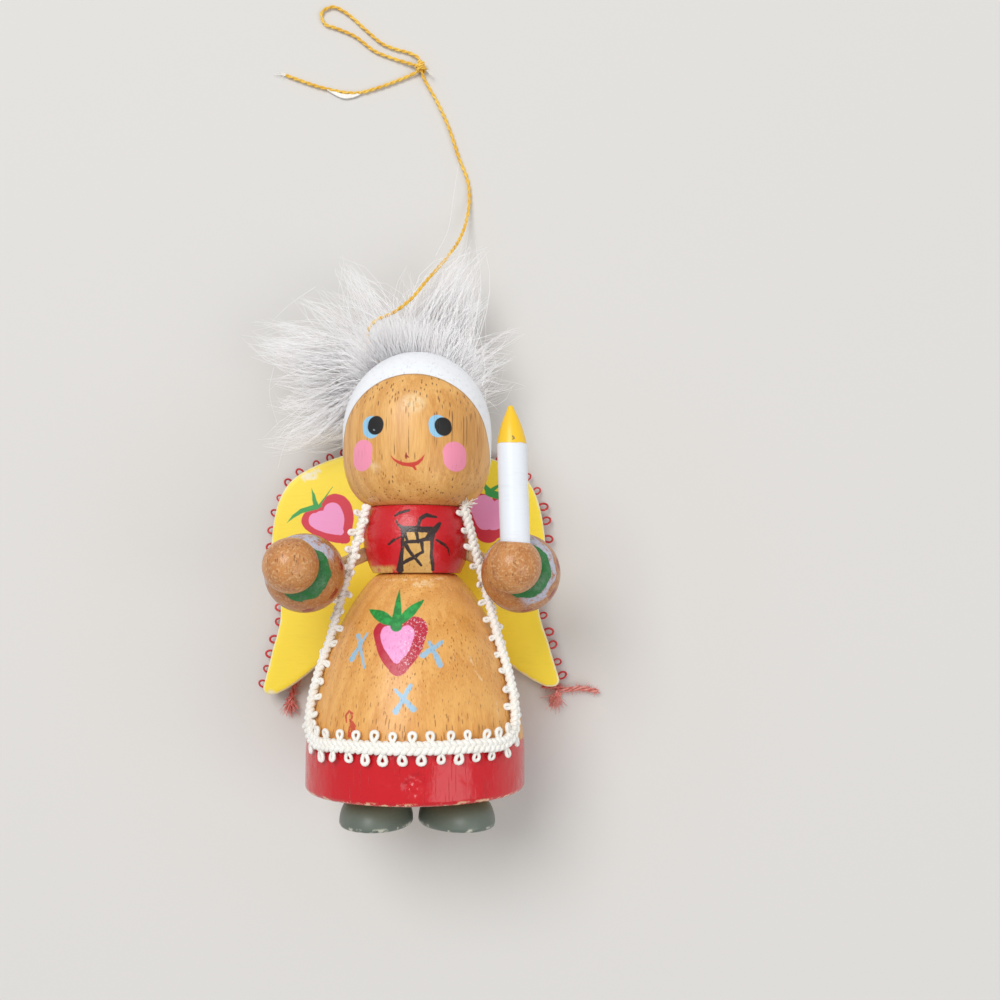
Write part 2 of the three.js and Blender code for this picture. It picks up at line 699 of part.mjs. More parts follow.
function cords() {
  const group = new THREE.Group();
  const step = CORD_STEP * 2 * CORD_RADIUS;
  const routes = { hanger_cord: CORD_ROUTE, hanger_loop: LOOP_ROUTE, hanger_tail: TAIL_ROUTE };
  for (const [name, route] of Object.entries(routes)) {
    group.add(piece(name, roundTube(route, CORD_RADIUS, CORD_SIDES, step), goldCord));
  }
  group.add(knot());
  group.position.z = -restHeight;
  return group;
}

// The whole ornament

function figure() {
  const group = new THREE.Group();
  const low = new THREE.Vector3(0, spineBottom, 0);
  const high = new THREE.Vector3(0, spineTop, 0);
  group.add(piece('skirt', skirt(), honeyWood));
  group.add(piece('torso', torso(), redPaint));
  group.add(piece('head', head(), honeyWood));
  group.add(piece('spine_dowel', dowel(SPINE_RADIUS, low, high, SPINE_SIDES), bareWood));
  group.add(placedArm('left_arm', -1));
  group.add(placedArm('right_arm', 1));
  group.add(piece('left_arm_peg', armPeg(-1, ARM_PEG_RADIUS, 0), bareWood));
  group.add(piece('right_arm_peg', armPeg(1, ARM_PEG_RADIUS, 0), bareWood));
  group.add(candle());
  group.add(piece('left_foot', foot(-1), shoePaint));
  group.add(piece('right_foot', foot(1), shoePaint));
  group.add(piece('left_foot_peg', footPeg(-1, FOOT_PEG_RADIUS, 0), bareWood));
  group.add(piece('right_foot_peg', footPeg(1, FOOT_PEG_RADIUS, 0), bareWood));
  group.add(wings());
  group.add(piece('apron_lace', lace(), whiteBraid));
  group.add(piece('fur_hide', cap(HEAD_RADIUS + GLUE_GAP, hideOuter, HIDE_HALF_ANGLE), hide));
  group.add(piece('fur_hair', furHair(), fur));
  return group;
}

// The origin is on the surface, under the middle of the figure without its cord
const ornament = new THREE.Group();
const body = figure();
const box = new THREE.Box3().setFromObject(body);
const middle = box.getCenter(new THREE.Vector3());
ornament.add(body, cords());
ornament.position.set(-middle.x, -middle.y, restHeight);

export default ornament;
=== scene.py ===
# The finish of a small painted wooden angel: turned wood, paint, picot braid, fur and a gold cord.
import math

import bmesh
import bpy
import numpy as np
from mathutils import Matrix, Vector
from mathutils.geometry import tessellate_polygon


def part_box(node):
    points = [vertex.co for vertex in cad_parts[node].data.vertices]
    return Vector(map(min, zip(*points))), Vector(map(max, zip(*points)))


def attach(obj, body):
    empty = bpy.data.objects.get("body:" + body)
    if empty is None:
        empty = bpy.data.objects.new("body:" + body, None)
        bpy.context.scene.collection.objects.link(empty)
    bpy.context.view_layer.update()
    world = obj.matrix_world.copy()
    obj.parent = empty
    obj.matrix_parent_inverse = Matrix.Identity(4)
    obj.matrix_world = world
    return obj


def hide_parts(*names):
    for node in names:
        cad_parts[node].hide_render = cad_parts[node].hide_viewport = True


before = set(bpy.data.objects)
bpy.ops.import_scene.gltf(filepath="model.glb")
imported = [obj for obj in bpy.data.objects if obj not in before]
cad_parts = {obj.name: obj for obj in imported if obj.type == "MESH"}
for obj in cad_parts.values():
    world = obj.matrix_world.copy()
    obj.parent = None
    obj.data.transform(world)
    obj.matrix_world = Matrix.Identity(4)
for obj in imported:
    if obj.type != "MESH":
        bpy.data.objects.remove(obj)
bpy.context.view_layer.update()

MM = 0.001
THREAD_SEED = 7
rng = np.random.default_rng(THREAD_SEED)

# The figure's own place: millimetres across, up from the skirt's underside, and front of the axis
skirt_low, skirt_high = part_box("skirt")
AXIS = Vector(((skirt_low.x + skirt_high.x) / 2, skirt_low.y, (skirt_low.z + skirt_high.z) / 2))


def to_row(points):
    """Figure millimetres as points of the row frame, in metres."""
    return np.asarray(points, float) * MM + np.array(AXIS)


def span(node):
    """A CAD piece's lowest and highest corners in figure millimetres."""
    return [(corner - AXIS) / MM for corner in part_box(node)]


FLOOR = -AXIS.z / MM
GLUE_GAP = 0.3
PEG_GAP = 0.12

# Turned body
SKIRT_HEIGHT = span("skirt")[1].y
SKIRT_RADIUS = span("skirt")[1].x
SKIRT_RIM_HEIGHT = 4
SKIRT_TOP_RADIUS = 4.3
HEM_ROUND = 0.7
BELL_RISE = 1.7
BELL_SHOULDER = 0.75
TORSO_BOTTOM = span("torso")[0].y
TORSO_TOP = span("torso")[1].y
TORSO_RADIUS = 6.2
TORSO_END_RADIUS = 5.2
HEAD_RADIUS = span("head")[1].x
HEAD_CENTRE = span("head")[1].y - HEAD_RADIUS
HEAD_FLAT = span("head")[0].y
# How the drawn head and torso depart from their solids
JAW_FULLNESS = 3.2  # 2 is a ball
JAW_DROP = 0.6
CROWN_RISE = 0.95
GLUE_FILLED = 0.24  # of each glue line
# The dowel through them
SPINE_BOTTOM = span("spine_dowel")[0].y
SPINE_TOP = span("spine_dowel")[1].y
SPINE_HOLE = span("spine_dowel")[1].x + PEG_GAP

# Arms
SLEEVE_RADIUS = 4.4
SLEEVE_BACK = 5.5
SLEEVE_FRONT = 3.3
CUFF_RADIUS = 2.05
HAND_RADIUS = 3
ARM_REACH = 12
ARM_LEVEL = TORSO_BOTTOM - 0.3
ARM_FORWARD = 6.3
ARM_PITCH = 7.6
ARM_YAW = {-1: -6, 1: -9}
ARM_PEG_RADIUS = 0.8
SHOULDER_DEPTH = 2
SHOULDER_LEVEL = 2.8
PEG_IN_SLEEVE = 3.7
HAND_ALONG = SLEEVE_FRONT + math.sqrt(HAND_RADIUS**2 - CUFF_RADIUS**2)

# Candle
CANDLE_RADIUS = 1.6
CANDLE_LENGTH = 15.7
FLAME_LENGTH = 4.2
FLAME_TIP = 0.35
CANDLE_SEAT = 1.5
CANDLE_OFFSET = 0.2
CANDLE_LEAN = 1.9

# Feet
FOOT_HALF_WIDTH = 4.1
FOOT_HALF_LENGTH = 6
FOOT_HEIGHT = 3.2
FOOT_TOP_RADIUS = 2.2
FOOT_EDGE = 0.4
FOOT_REACH = {-1: 4.2, 1: 4.8}
FOOT_TURN = {-1: 0, 1: 20}
FOOT_FORWARD = 2.5
FOOT_PEG_RADIUS = 1
FOOT_PEG_IN_SKIRT = 4
FOOT_PEG_IN_FOOT = 2

# Wings
WING_FRONT = span("wings")[1].z
WING_BACK = span("wings")[0].z
WING_SHIFT = -0.95
WING_TURN = -1.6
WING_TIP_REACH = 18.3
WING_TIP_DROP = 30.6
WING_TIP_WIDTH = 1.7
WING_TIP_SAG = 0.3
WING_WAIST = (16, 20.35)
WING_LOBE = (17.05, 12.05)
WING_SHOULDER = (14.5, 4.3)
WING_TOP = (5.5, 0.65)
WING_NOTCH = (0, 1.25)
WING_ARCH_FLAT = 8.1
WING_ARCH_TURN = 11.6
WING_ARCH_LIFT = 2

# Braids
TRIM_PITCH = 1.95
TRIM_END = 0.86
LACE_PITCH = 2.05
LACE_HEM_LEVEL = 6.2
LACE_SIDE_ANGLE = 66
LACE_HIP_ANGLE = 71
LACE_CORNER_TURN = 14
LACE_HIP_LEVEL = SKIRT_HEIGHT - 7.5
LACE_SHOULDER_ANGLE = 64
LACE_SHOULDER_RADIUS = 6.2
LACE_LIFT = 0.65

# Hair
HIDE_HALF_ANGLE = 42
HIDE_TILT = 45
HIDE_THICKNESS = 0.7

# Cord: across, up the figure, and above the surface that it lies on
CORD_ROUTE = [
    (-4.3, 49.3, 12), (-5.3, 50.9, 12.5), (-6, 52.6, 12.6), (-5.2, 54.3, 12.3), (-3, 55.5, 11.9),
    (-1, 57.4, 10.9), (0.9, 60.3, 9.1), (3, 63.7, 6.3), (4.5, 66.9, 3.6), (5.3, 69.8, 1.6),
    (5.7, 72.9, 0.6), (5.5, 75.6, 0.36), (4.3, 78.9, 0.36), (2.9, 83.1, 0.36), (1.3, 86.6, 0.36),
    (-0.3, 89.5, 0.5),
]
LOOP_ROUTE = [
    (-1, 92.1, 0.6), (-2.2, 92.9, 0.4), (-4.2, 93.5, 0.36), (-5.8, 94.2, 0.36), (-7.8, 95.9, 0.36),
    (-10.6, 98.4, 0.36), (-12.4, 99.2, 0.36), (-13.8, 98.4, 0.36), (-13.4, 96.9, 0.36),
    (-11.9, 96.3, 0.36), (-9.4, 95.2, 0.36), (-6.8, 93.2, 0.36), (-4.4, 92.2, 0.36), (-1.9, 91.3, 0.6),
]
TAIL_ROUTE = [
    (-1.8, 90, 0.45), (-4.2, 89, 0.36), (-6.7, 88.1, 0.36), (-9.2, 87.5, 0.36), (-13.5, 88.2, 0.36),
    (-18.4, 89.9, 0.36),
]
LOOP_INTO_KNOT = (-1.0, 90.95, 0.7)
TAIL_FROM_KNOT = (-0.8, 90.45, 0.65)
CORE_ROUTE = [
    (-13.2, 88.1, 0.4), (-12.2, 87.5, 0.3), (-10.8, 86.9, 0.3), (-9.4, 87.05, 0.3), (-8.2, 87.6, 0.4),
]
KNOT_PLACE = (-0.7, 90.8, 0.76)
KNOT_LENGTH = 1.7
KNOT_RADIUS = 0.75
KNOT_LEAN = 20


# Camera

CAMERA_PLACE = (9.7, 23.01, 134.17)
CAMERA_TILT = 4.3
FOCAL_PIXELS = 1150
IMAGE_PIXELS = 1000


def make_camera():
    data = bpy.data.cameras.new("camera")
    data.sensor_width = 36
    data.lens = data.sensor_width * FOCAL_PIXELS / IMAGE_PIXELS
    data.clip_start = 0.005
    camera = bpy.data.objects.new("camera", data)
    camera.location = to_row(CAMERA_PLACE)
    camera.rotation_euler = (math.radians(CAMERA_TILT), 0, 0)
    bpy.context.scene.collection.objects.link(camera)
    bpy.context.scene.camera = camera


make_camera()


# Node wiring, for materials, shader groups and geometry trees alike


class Wiring:
    """A node tree with short words for the nodes that it needs."""

    def __init__(self, tree):
        self.tree = tree

    def feed(self, socket, value):
        if isinstance(value, bpy.types.NodeSocket):
            self.tree.links.new(value, socket)
        elif value is not None:
            socket.default_value = value

    def add(self, kind, *values, **settings):
        node = self.tree.nodes.new(kind)
        for key, value in settings.items():
            setattr(node, key, value)
        for socket, value in zip(node.inputs, values):
            self.feed(socket, value)
        return node

    def named(self, node, **values):
        """Feeds inputs by name, with underscores for spaces."""
        for key, value in values.items():
            self.feed(node.inputs[key.replace("_", " ")], value)
        return node

    def math(self, operation, *values, clamp=False):
        return self.add("ShaderNodeMath", *values, operation=operation, use_clamp=clamp).outputs[0]

    def vector(self, operation, *values):
        return self.add("ShaderNodeVectorMath", *values, operation=operation).outputs[0]

    def scaled(self, vector, factor):
        node = self.add("ShaderNodeVectorMath", vector, operation="SCALE")
        self.feed(node.inputs["Scale"], factor)
        return node.outputs[0]

    def measure(self, operation, *values):
        return self.add("ShaderNodeVectorMath", *values, operation=operation).outputs["Value"]

    def parts(self, vector):
        return self.add("ShaderNodeSeparateXYZ", vector).outputs

    def ramp(self, value, low, high, to_low=0.0, to_high=1.0):
        """A soft step from to_low at low to to_high at high."""
        node = self.add(
            "ShaderNodeMapRange", value, low, high, to_low, to_high, interpolation_type="SMOOTHSTEP",
        )
        return node.outputs[0]

    def noise(self, place, scale=1.0, detail=2.0, rough=0.5):
        node = self.add("ShaderNodeTexNoise")
        self.named(node, Vector=place, Scale=scale, Detail=detail, Roughness=rough)
        return node.outputs["Fac"]

    def mix(self, share, below, above):
        node = self.add("ShaderNodeMix", data_type="RGBA")
        for index, value in ((0, share), (6, below), (7, above)):
            self.feed(node.inputs[index], value)
        return node.outputs[2]

    def group(self, tree, **values):
        node = self.add("ShaderNodeGroup", node_tree=tree)
        return self.named(node, **values).outputs


def new_group(name, kind, inputs, outputs):
    """A node group with named sockets. Each input is its name, its socket's kind and its first value."""
    tree = bpy.data.node_groups.new(name, kind)
    for label, socket, value in inputs:
        made = tree.interface.new_socket(label, in_out="INPUT", socket_type="NodeSocket" + socket)
        if value is not None:
            made.default_value = value
    for label, socket in outputs:
        tree.interface.new_socket(label, in_out="OUTPUT", socket_type="NodeSocket" + socket)
    wires = Wiring(tree)
    return wires, wires.add("NodeGroupInput").outputs, wires.add("NodeGroupOutput").inputs


def tone(red, green, blue):
    """A colour as it looks on a screen, 0 to 255, in the linear numbers that shaders take."""

    def linear(value):
        value /= 255
        return value / 12.92 if value <= 0.04045 else ((value + 0.055) / 1.055) ** 2.4

    return (linear(red), linear(green), linear(blue), 1)


# Shader groups that several finishes share


def make_figure_place():
    """Where a point lies on the figure, in millimetres across, up and front."""
    wires, _, outputs = new_group("Figure place", "ShaderNodeTree", [], [("Place", "Vector")])
    coordinates = wires.add("ShaderNodeTexCoord").outputs["Object"]
    moved = wires.vector("SUBTRACT", coordinates, tuple(AXIS))
    wires.feed(outputs["Place"], wires.scaled(moved, 1 / MM))
    return wires.tree


def make_hand_wobble():
    """Shakes a place as an unsteady brush would."""
    inputs = [("Place", "Vector", None), ("Amount", "Float", 0.1), ("Scale", "Float", 0.8)]
    wires, given, outputs = new_group("Hand wobble", "ShaderNodeTree", inputs, [("Place", "Vector")])
    node = wires.add("ShaderNodeTexNoise")
    wires.named(node, Vector=given["Place"], Scale=given["Scale"], Detail=2.0)
    shake = wires.vector("SUBTRACT", node.outputs["Color"], (0.5, 0.5, 0.5))
    shifted = wires.vector("ADD", given["Place"], wires.scaled(shake, given["Amount"]))
    wires.feed(outputs["Place"], shifted)
    return wires.tree


def make_brush_stroke():
    """A stroke of paint between two points of a flat place, as wide as its two ends and its belly say."""
    inputs = [
        ("Place", "Vector", None), ("Start", "Vector", None), ("End", "Vector", None),
        ("Start width", "Float", 0.2), ("End width", "Float", 0.2), ("Belly", "Float", 0.0),
        ("Soft", "Float", 0.06),
    ]
    wires, given, outputs = new_group("Brush stroke", "ShaderNodeTree", inputs, [("Mask", "Float")])
    flat = wires.vector("MULTIPLY", given["Place"], (1, 1, 0))
    away = wires.vector("SUBTRACT", flat, given["Start"])
    along = wires.vector("SUBTRACT", given["End"], given["Start"])
    length = wires.math("MAXIMUM", wires.measure("DOT_PRODUCT", along, along), 1e-6)
    share = wires.math("DIVIDE", wires.measure("DOT_PRODUCT", away, along), length, clamp=True)
    distance = wires.measure("LENGTH", wires.vector("SUBTRACT", away, wires.scaled(along, share)))
    rest = wires.math("SUBTRACT", 1.0, share)
    ends = wires.math(
        "MULTIPLY_ADD", given["Start width"], rest, wires.math("MULTIPLY", given["End width"], share),
    )
    hump = wires.math("MULTIPLY", wires.math("MULTIPLY", share, rest), 4.0)
    width = wires.math("MULTIPLY_ADD", given["Belly"], hump, ends)
    inside = wires.math("SUBTRACT", width, distance)
    low = wires.math("MULTIPLY", given["Soft"], -1.0)
    wires.feed(outputs["Mask"], wires.ramp(inside, low, given["Soft"]))
    return wires.tree


def make_turned_wood():
    """Wood with its grain up the figure: growth rings, streaks and pores, dots where the grain ends."""
    inputs = [
        ("Place", "Vector", None), ("Light", "Color", None), ("Dark", "Color", None),
        ("Pore tone", "Color", None),
        ("Pores", "Float", 0.5), ("Pore length", "Float", 2.0), ("Pores per mm", "Float", 4.0),
    ]
    outputs = [("Colour", "Color"), ("Height", "Float")]
    wires, given, made = new_group("Turned wood", "ShaderNodeTree", inputs, outputs)
    place = given["Place"]
    streaks = wires.noise(wires.vector("MULTIPLY", place, (1.6, 0.09, 1.6)), 1.0, 3.0, 0.6)
    fine = wires.noise(wires.vector("MULTIPLY", place, (8, 0.5, 8)), 1.0, 2.0)
    x, _, front = wires.parts(place)
    across = wires.math("POWER", wires.math("ADD", x, 31.0), 2.0)
    depth = wires.math("POWER", wires.math("ADD", front, 44.0), 2.0)
    bent = wires.math("MULTIPLY_ADD", streaks, 2.2, wires.math("SQRT", wires.math("ADD", across, depth)))
    rings = wires.math("MULTIPLY_ADD", wires.math("SINE", wires.math("MULTIPLY", bent, 3.1)), 0.5, 0.5)
    warmth = wires.math("MULTIPLY_ADD", rings, 0.16, wires.math("MULTIPLY", streaks, 0.4))
    warmth = wires.math("MULTIPLY_ADD", fine, 0.5, warmth)
    wood = wires.mix(wires.ramp(warmth, 0.3, 0.8), given["Light"], given["Dark"])
    lengthwise = wires.math("DIVIDE", 0.55, given["Pore length"])
    stretch = wires.add(
        "ShaderNodeCombineXYZ", given["Pores per mm"], lengthwise, given["Pores per mm"],
    ).outputs[0]
    shaken = wires.group(hand_wobble, Place=place, Amount=0.12, Scale=0.5)["Place"]
    cells = wires.add("ShaderNodeTexVoronoi")
    wires.named(cells, Vector=wires.vector("MULTIPLY", shaken, stretch), Scale=1.0)
    pick, size, _ = wires.parts(cells.outputs["Color"])
    reach = wires.math("MULTIPLY_ADD", size, 0.22, 0.14)
    pores = wires.ramp(wires.math("SUBTRACT", reach, cells.outputs["Distance"]), 0.0, 0.12)
    pores = wires.math("MULTIPLY", pores, wires.math("LESS_THAN", pick, given["Pores"]))
    wires.feed(made["Colour"], wires.mix(wires.math("MULTIPLY", pores, 0.72), wood, given["Pore tone"]))
    grooves = wires.math("MULTIPLY_ADD", pores, -0.04, wires.math("MULTIPLY", fine, 0.01))
    wires.feed(made["Height"], grooves)
    return wires.tree


def make_brushed_paint():
    """A film of paint with soft brush lines, thin spots and a speck of dirt here and there."""
    inputs = [
        ("Place", "Vector", None), ("Colour", "Color", None), ("Worn", "Color", None),
        ("Grime", "Float", 0.25),
    ]
    wires, given, outputs = new_group(
        "Brushed paint", "ShaderNodeTree", inputs, [("Colour", "Color"), ("Height", "Float")],
    )
    place = given["Place"]
    lines = wires.noise(wires.vector("MULTIPLY", place, (0.5, 4.5, 0.5)), 1.0, 3.0, 0.6)
    cloud = wires.noise(place, 0.28, 3.0)
    shade = wires.math("MULTIPLY_ADD", lines, 0.4, wires.math("MULTIPLY", cloud, 0.6))
    darker = wires.mix(0.2, given["Colour"], (0, 0, 0, 1))
    film = wires.mix(wires.math("MULTIPLY", wires.ramp(shade, 0.5, 0.85), 0.7), given["Colour"], darker)
    thin = wires.ramp(wires.noise(place, 1.7, 4.0, 0.7), 0.68, 0.76)
    film = wires.mix(wires.math("MULTIPLY", thin, given["Grime"]), film, given["Worn"])
    wires.feed(outputs["Colour"], film)
    wires.feed(
        outputs["Height"], wires.math("MULTIPLY_ADD", lines, 0.02, wires.math("MULTIPLY", thin, -0.02)),
    )
    return wires.tree


def make_thread_fibres():
    """Fine fibres that lie along a thread: a noise mix of a light tone and a darker one, painted light on
    top and painted shade between.
    """
    inputs = [
        ("Place", "Vector", None), ("Colour", "Color", None), ("Shade", "Color", None),
        ("Scale", "Float", 5.0),
    ]
    wires, given, outputs = new_group(
        "Thread fibres", "ShaderNodeTree", inputs, [("Colour", "Color"), ("Height", "Float")],
    )
    fine = wires.noise(given["Place"], given["Scale"], 3.0, 0.65)
    broad = wires.noise(given["Place"], 0.45, 2.0)
    share = wires.math("MULTIPLY_ADD", fine, 0.6, wires.math("MULTIPLY", broad, 0.4))
    wires.feed(outputs["Colour"], wires.mix(wires.ramp(share, 0.4, 0.66), given["Shade"], given["Colour"]))
    wires.feed(outputs["Height"], wires.math("MULTIPLY", fine, 0.05))
    return wires.tree


figure_place = make_figure_place()
hand_wobble = make_hand_wobble()
brush_stroke = make_brush_stroke()
turned_wood = make_turned_wood()
brushed_paint = make_brushed_paint()
thread_fibres = make_thread_fibres()


class Finish(Wiring):
    """A material that starts from its place on the figure and is painted layer by layer."""

    def __init__(self, name, roughness=0.5, coat=0.0, coat_roughness=0.1, sheen=0.0):
        self.material = bpy.data.materials.new(name)
        self.material.use_nodes = True
        super().__init__(self.material.node_tree)
        self.shader = self.tree.nodes["Principled BSDF"]
        self.shader.inputs["Roughness"].default_value = roughness
        self.shader.inputs["Coat Weight"].default_value = coat
        self.shader.inputs["Coat Roughness"].default_value = coat_roughness
        self.shader.inputs["Sheen Weight"].default_value = sheen
        self.place = self.group(figure_place)["Place"]
        self.colour = None
        self.height = 0.0

    def wood(self, light, dark, pore, pores, length, density=4.0):
        tones = dict(Light=light, Dark=dark, Pore_tone=pore)
        counts = dict(Pores=pores, Pore_length=length, Pores_per_mm=density)
        made = self.group(turned_wood, Place=self.place, **tones, **counts)
        self.colour, self.height = made["Colour"], made["Height"]

    def film(self, colour, worn, grime=0.25):
        """Paint all over."""
        made = self.group(brushed_paint, Place=self.place, Colour=colour, Worn=worn, Grime=grime)
        self.colour, self.height = made["Colour"], made["Height"]

    def over(self, mask, colour, thick=0.0):
        """Paint where the mask says, standing proud if it is thick."""
        self.colour = self.mix(mask, self.colour, colour)
        if thick:
            self.height = self.math("MULTIPLY_ADD", mask, thick, self.height)

    def patchy(self, mask, scale, low, high):
        """The mask with bare spots, as a dry brush leaves them."""
        return self.math("MULTIPLY", mask, self.ramp(self.noise(self.place, scale, 3.0, 0.65), low, high))

    def strokes(self, marks, place, soft=0.06):
        """The mask of several brush strokes: start, end, start width, end width and, if any, belly."""
        whole = 0.0
        for start, end, start_width, end_width, *belly in marks:
            values = dict(Start=(*start, 0), End=(*end, 0), Start_width=start_width, End_width=end_width)
            values.update(Belly=belly[0] if belly else 0.0, Soft=soft, Place=place)
            whole = self.math("MAXIMUM", whole, self.group(brush_stroke, **values)["Mask"])
        return whole

    def done(self):
        bump = self.add("ShaderNodeBump")
        self.named(bump, Height=self.height, Distance=MM, Strength=1.0)
        self.feed(self.shader.inputs["Base Color"], self.colour)
        self.feed(self.shader.inputs["Normal"], bump.outputs["Normal"])
        return self.material


HONEY = tone(240, 182, 102)
HONEY_DARK = tone(218, 150, 72)
HONEY_PORE = tone(150, 92, 40)
BERRY_RED = tone(192, 34, 58)
BERRY_PINK = tone(246, 160, 212)
LEAF_GREEN = tone(40, 166, 74)
STITCH_BLUE = tone(146, 196, 226)
VEST_RED = tone(206, 16, 30)
LACING_BLACK = tone(26, 22, 26)
HOOD_WHITE = tone(246, 248, 252)

# Painted marks: start, end, start width, end width, belly, in figure millimetres across and up


def brushed(points, widths):
    """One stroke through several points, as straight marks from each to the next."""
    return [(a, b, w, v) for a, b, w, v in zip(points, points[1:], widths, widths[1:])]


APRON_BERRY = [
    ((-2.9, 18.0), (-1.2, 14.6), 1.2, 1.1, 0.3), ((0.4, 18.3), (-1.2, 14.6), 1.45, 1.1, 0.35),
    ((-2.4, 17.6), (0, 17.6), 1.2, 1.2),
]
APRON_PINK = [
    ((-2.35, 17.8), (-1.35, 15.2), 0.95, 0.42, 0.22), ((-0.4, 17.95), (-1.35, 15.2), 0.85, 0.42, 0.25),
    ((-2, 17.8), (-0.8, 17.8), 0.75, 0.75),
]
APRON_LEAVES = [
    ((-1.6, 18.75), (-1.4, 23.2), 0.66, -0.08, 0.06), ((-1.9, 19), (-4.9, 20.5), 0.3, -0.06, 0.5),
    ((-1.3, 19.1), (1.25, 21.5), 0.3, 0.06, 0.34),
]
APRON_STITCHES = [
    ((-4.8, 17.9), (-6.5, 15.1), 0.1, 0.28), ((-5.85, 17.6), (-4.9, 14.3), 0.26, 0.14),
    ((3.4, 17.0), (1.4, 15.6), 0.22, 0.3), ((2.1, 17.0), (3.3, 14.6), 0.2, 0.3),
    ((0.2, 12.5), (-1.3, 9.8), 0.22, 0.3), ((-1.4, 12.1), (0.6, 10.1), 0.16, 0.32),
]
APRON_SMEAR = [
    *brushed(
        [(-6.7, 8.6), (-6.75, 9.2), (-6.4, 9.8), (-6.05, 9.5), (-6.1, 9)], [0.1, 0.12, 0.1, 0.16, 0.1],
    ),
    *brushed([(-6.3, 8.9), (-5.95, 8.2), (-6.2, 7.2)], [0.12, 0.36, 0.3]),
    ((-6, 7.9), (-5.4, 7.6), 0.2, 0.12),
]
# Pale scuffs and scratches on the apron; the two marks near the top also stand for a painted highlight on
# the skirt's shoulder.
APRON_SCUFFS_AND_HIGHLIGHT = [
    ((0.3, 23.2), (1.9, 23.4), 0.3, 0.5), ((-3.2, 23.7), (3.6, 23.9), 0.1, 0.14),
    ((4.8, 19.3), (5.2, 17.8), 0.03, 0.06), ((4.8, 15.7), (4.7, 14.7), 0.05, 0.03),
    ((6.4, 15.3), (6.8, 14.4), 0.16, 0.05),
    ((7, 13.9), (7.8, 12.7), 0.06, 0.1), ((9.1, 11.1), (9.6, 8.5), 0.04, 0.05),
]
RIM_DENT = [((0.6, 2.2), (0.9, 2.7), 0.8, 0.7)]


def skirt_finish():
    finish = Finish("skirt_wood_and_paint", 0.42, 0.15, 0.2)
    finish.wood(HONEY, HONEY_DARK, tone(170, 108, 50), 0.85, 5, 4.6)
    bare = finish.colour
    place = finish.group(hand_wobble, Place=finish.place, Amount=0.22, Scale=0.9)["Place"]
    ragged = finish.group(hand_wobble, Place=place, Amount=0.24, Scale=3.2)["Place"]
    x, up, front = finish.parts(place)
    ahead = finish.ramp(front, 0.0, 0.5)
    rim = finish.group(
        brushed_paint, Place=finish.place, Colour=VEST_RED, Worn=tone(224, 84, 88), Grime=0.5,
    )
    red = finish.ramp(up, 5.95, 5.75)
    finish.over(red, rim["Colour"], 0.06)
    # Pale scuffs, partly a painted highlight near the top
    scuffs_and_highlight = finish.patchy(finish.strokes(APRON_SCUFFS_AND_HIGHLIGHT, ragged, 0.12), 1.6, 0.4, 0.62)
    smear = finish.patchy(finish.strokes(APRON_SMEAR, ragged), 2.0, 0.34, 0.46)
    stitches = finish.patchy(finish.strokes(APRON_STITCHES, ragged), 1.6, 0.3, 0.42)
    berry = finish.strokes(APRON_BERRY, place)
    # Painted highlight: pale specks on the right half of the berry, where its rough paint catches the
    # light.
    highlight_specks = finish.ramp(finish.noise(finish.place, 4.2, 3.0, 0.7), 0.54, 0.64)
    painted_highlight = finish.math("MULTIPLY", finish.math("MULTIPLY", highlight_specks, finish.ramp(x, -1.6, -0.2)), berry)
    leaf = finish.mix(
        finish.ramp(finish.noise(finish.place, 1.1, 3.0, 0.6), 0.42, 0.62), tone(26, 132, 56), LEAF_GREEN,
    )
    for mask, colour in (
        (finish.math("MULTIPLY", scuffs_and_highlight, 0.7), tone(250, 216, 166)),
        (finish.math("MULTIPLY", smear, 0.85), tone(200, 48, 44)),
        (finish.math("MULTIPLY", stitches, 0.9), STITCH_BLUE), (berry, BERRY_RED),
        (finish.strokes(APRON_PINK, place), BERRY_PINK),
        (finish.math("MULTIPLY", painted_highlight, 0.6), tone(255, 236, 246)),
        (finish.strokes(APRON_LEAVES, place), leaf),
    ):
        finish.over(finish.math("MULTIPLY", mask, ahead), colour)
    dent = finish.math("MULTIPLY", finish.strokes(RIM_DENT, place, 0.6), ahead)
    lumps = finish.math("MULTIPLY", finish.noise(finish.place, 1.0, 1.0), dent)
    finish.height = finish.math("MULTIPLY_ADD", lumps, -0.55, finish.height)
    hem = finish.patchy(finish.ramp(up, 0.55, 0.25), 1.1, 0.5, 0.6)
    finish.over(hem, finish.mix(0.5, bare, tone(240, 200, 180)))
    underside = finish.ramp(finish.parts(finish.place)[1], 0.06, 0.02)
    finish.over(underside, bare, -0.05)
    finish.feed(finish.shader.inputs["Roughness"], finish.ramp(red, 0.0, 1.0, 0.42, 0.2))
    uneven = finish.noise(finish.place, 0.55, 2.0)
    finish.height = finish.math("MULTIPLY_ADD", uneven, 0.16, finish.height)
    return finish.done()


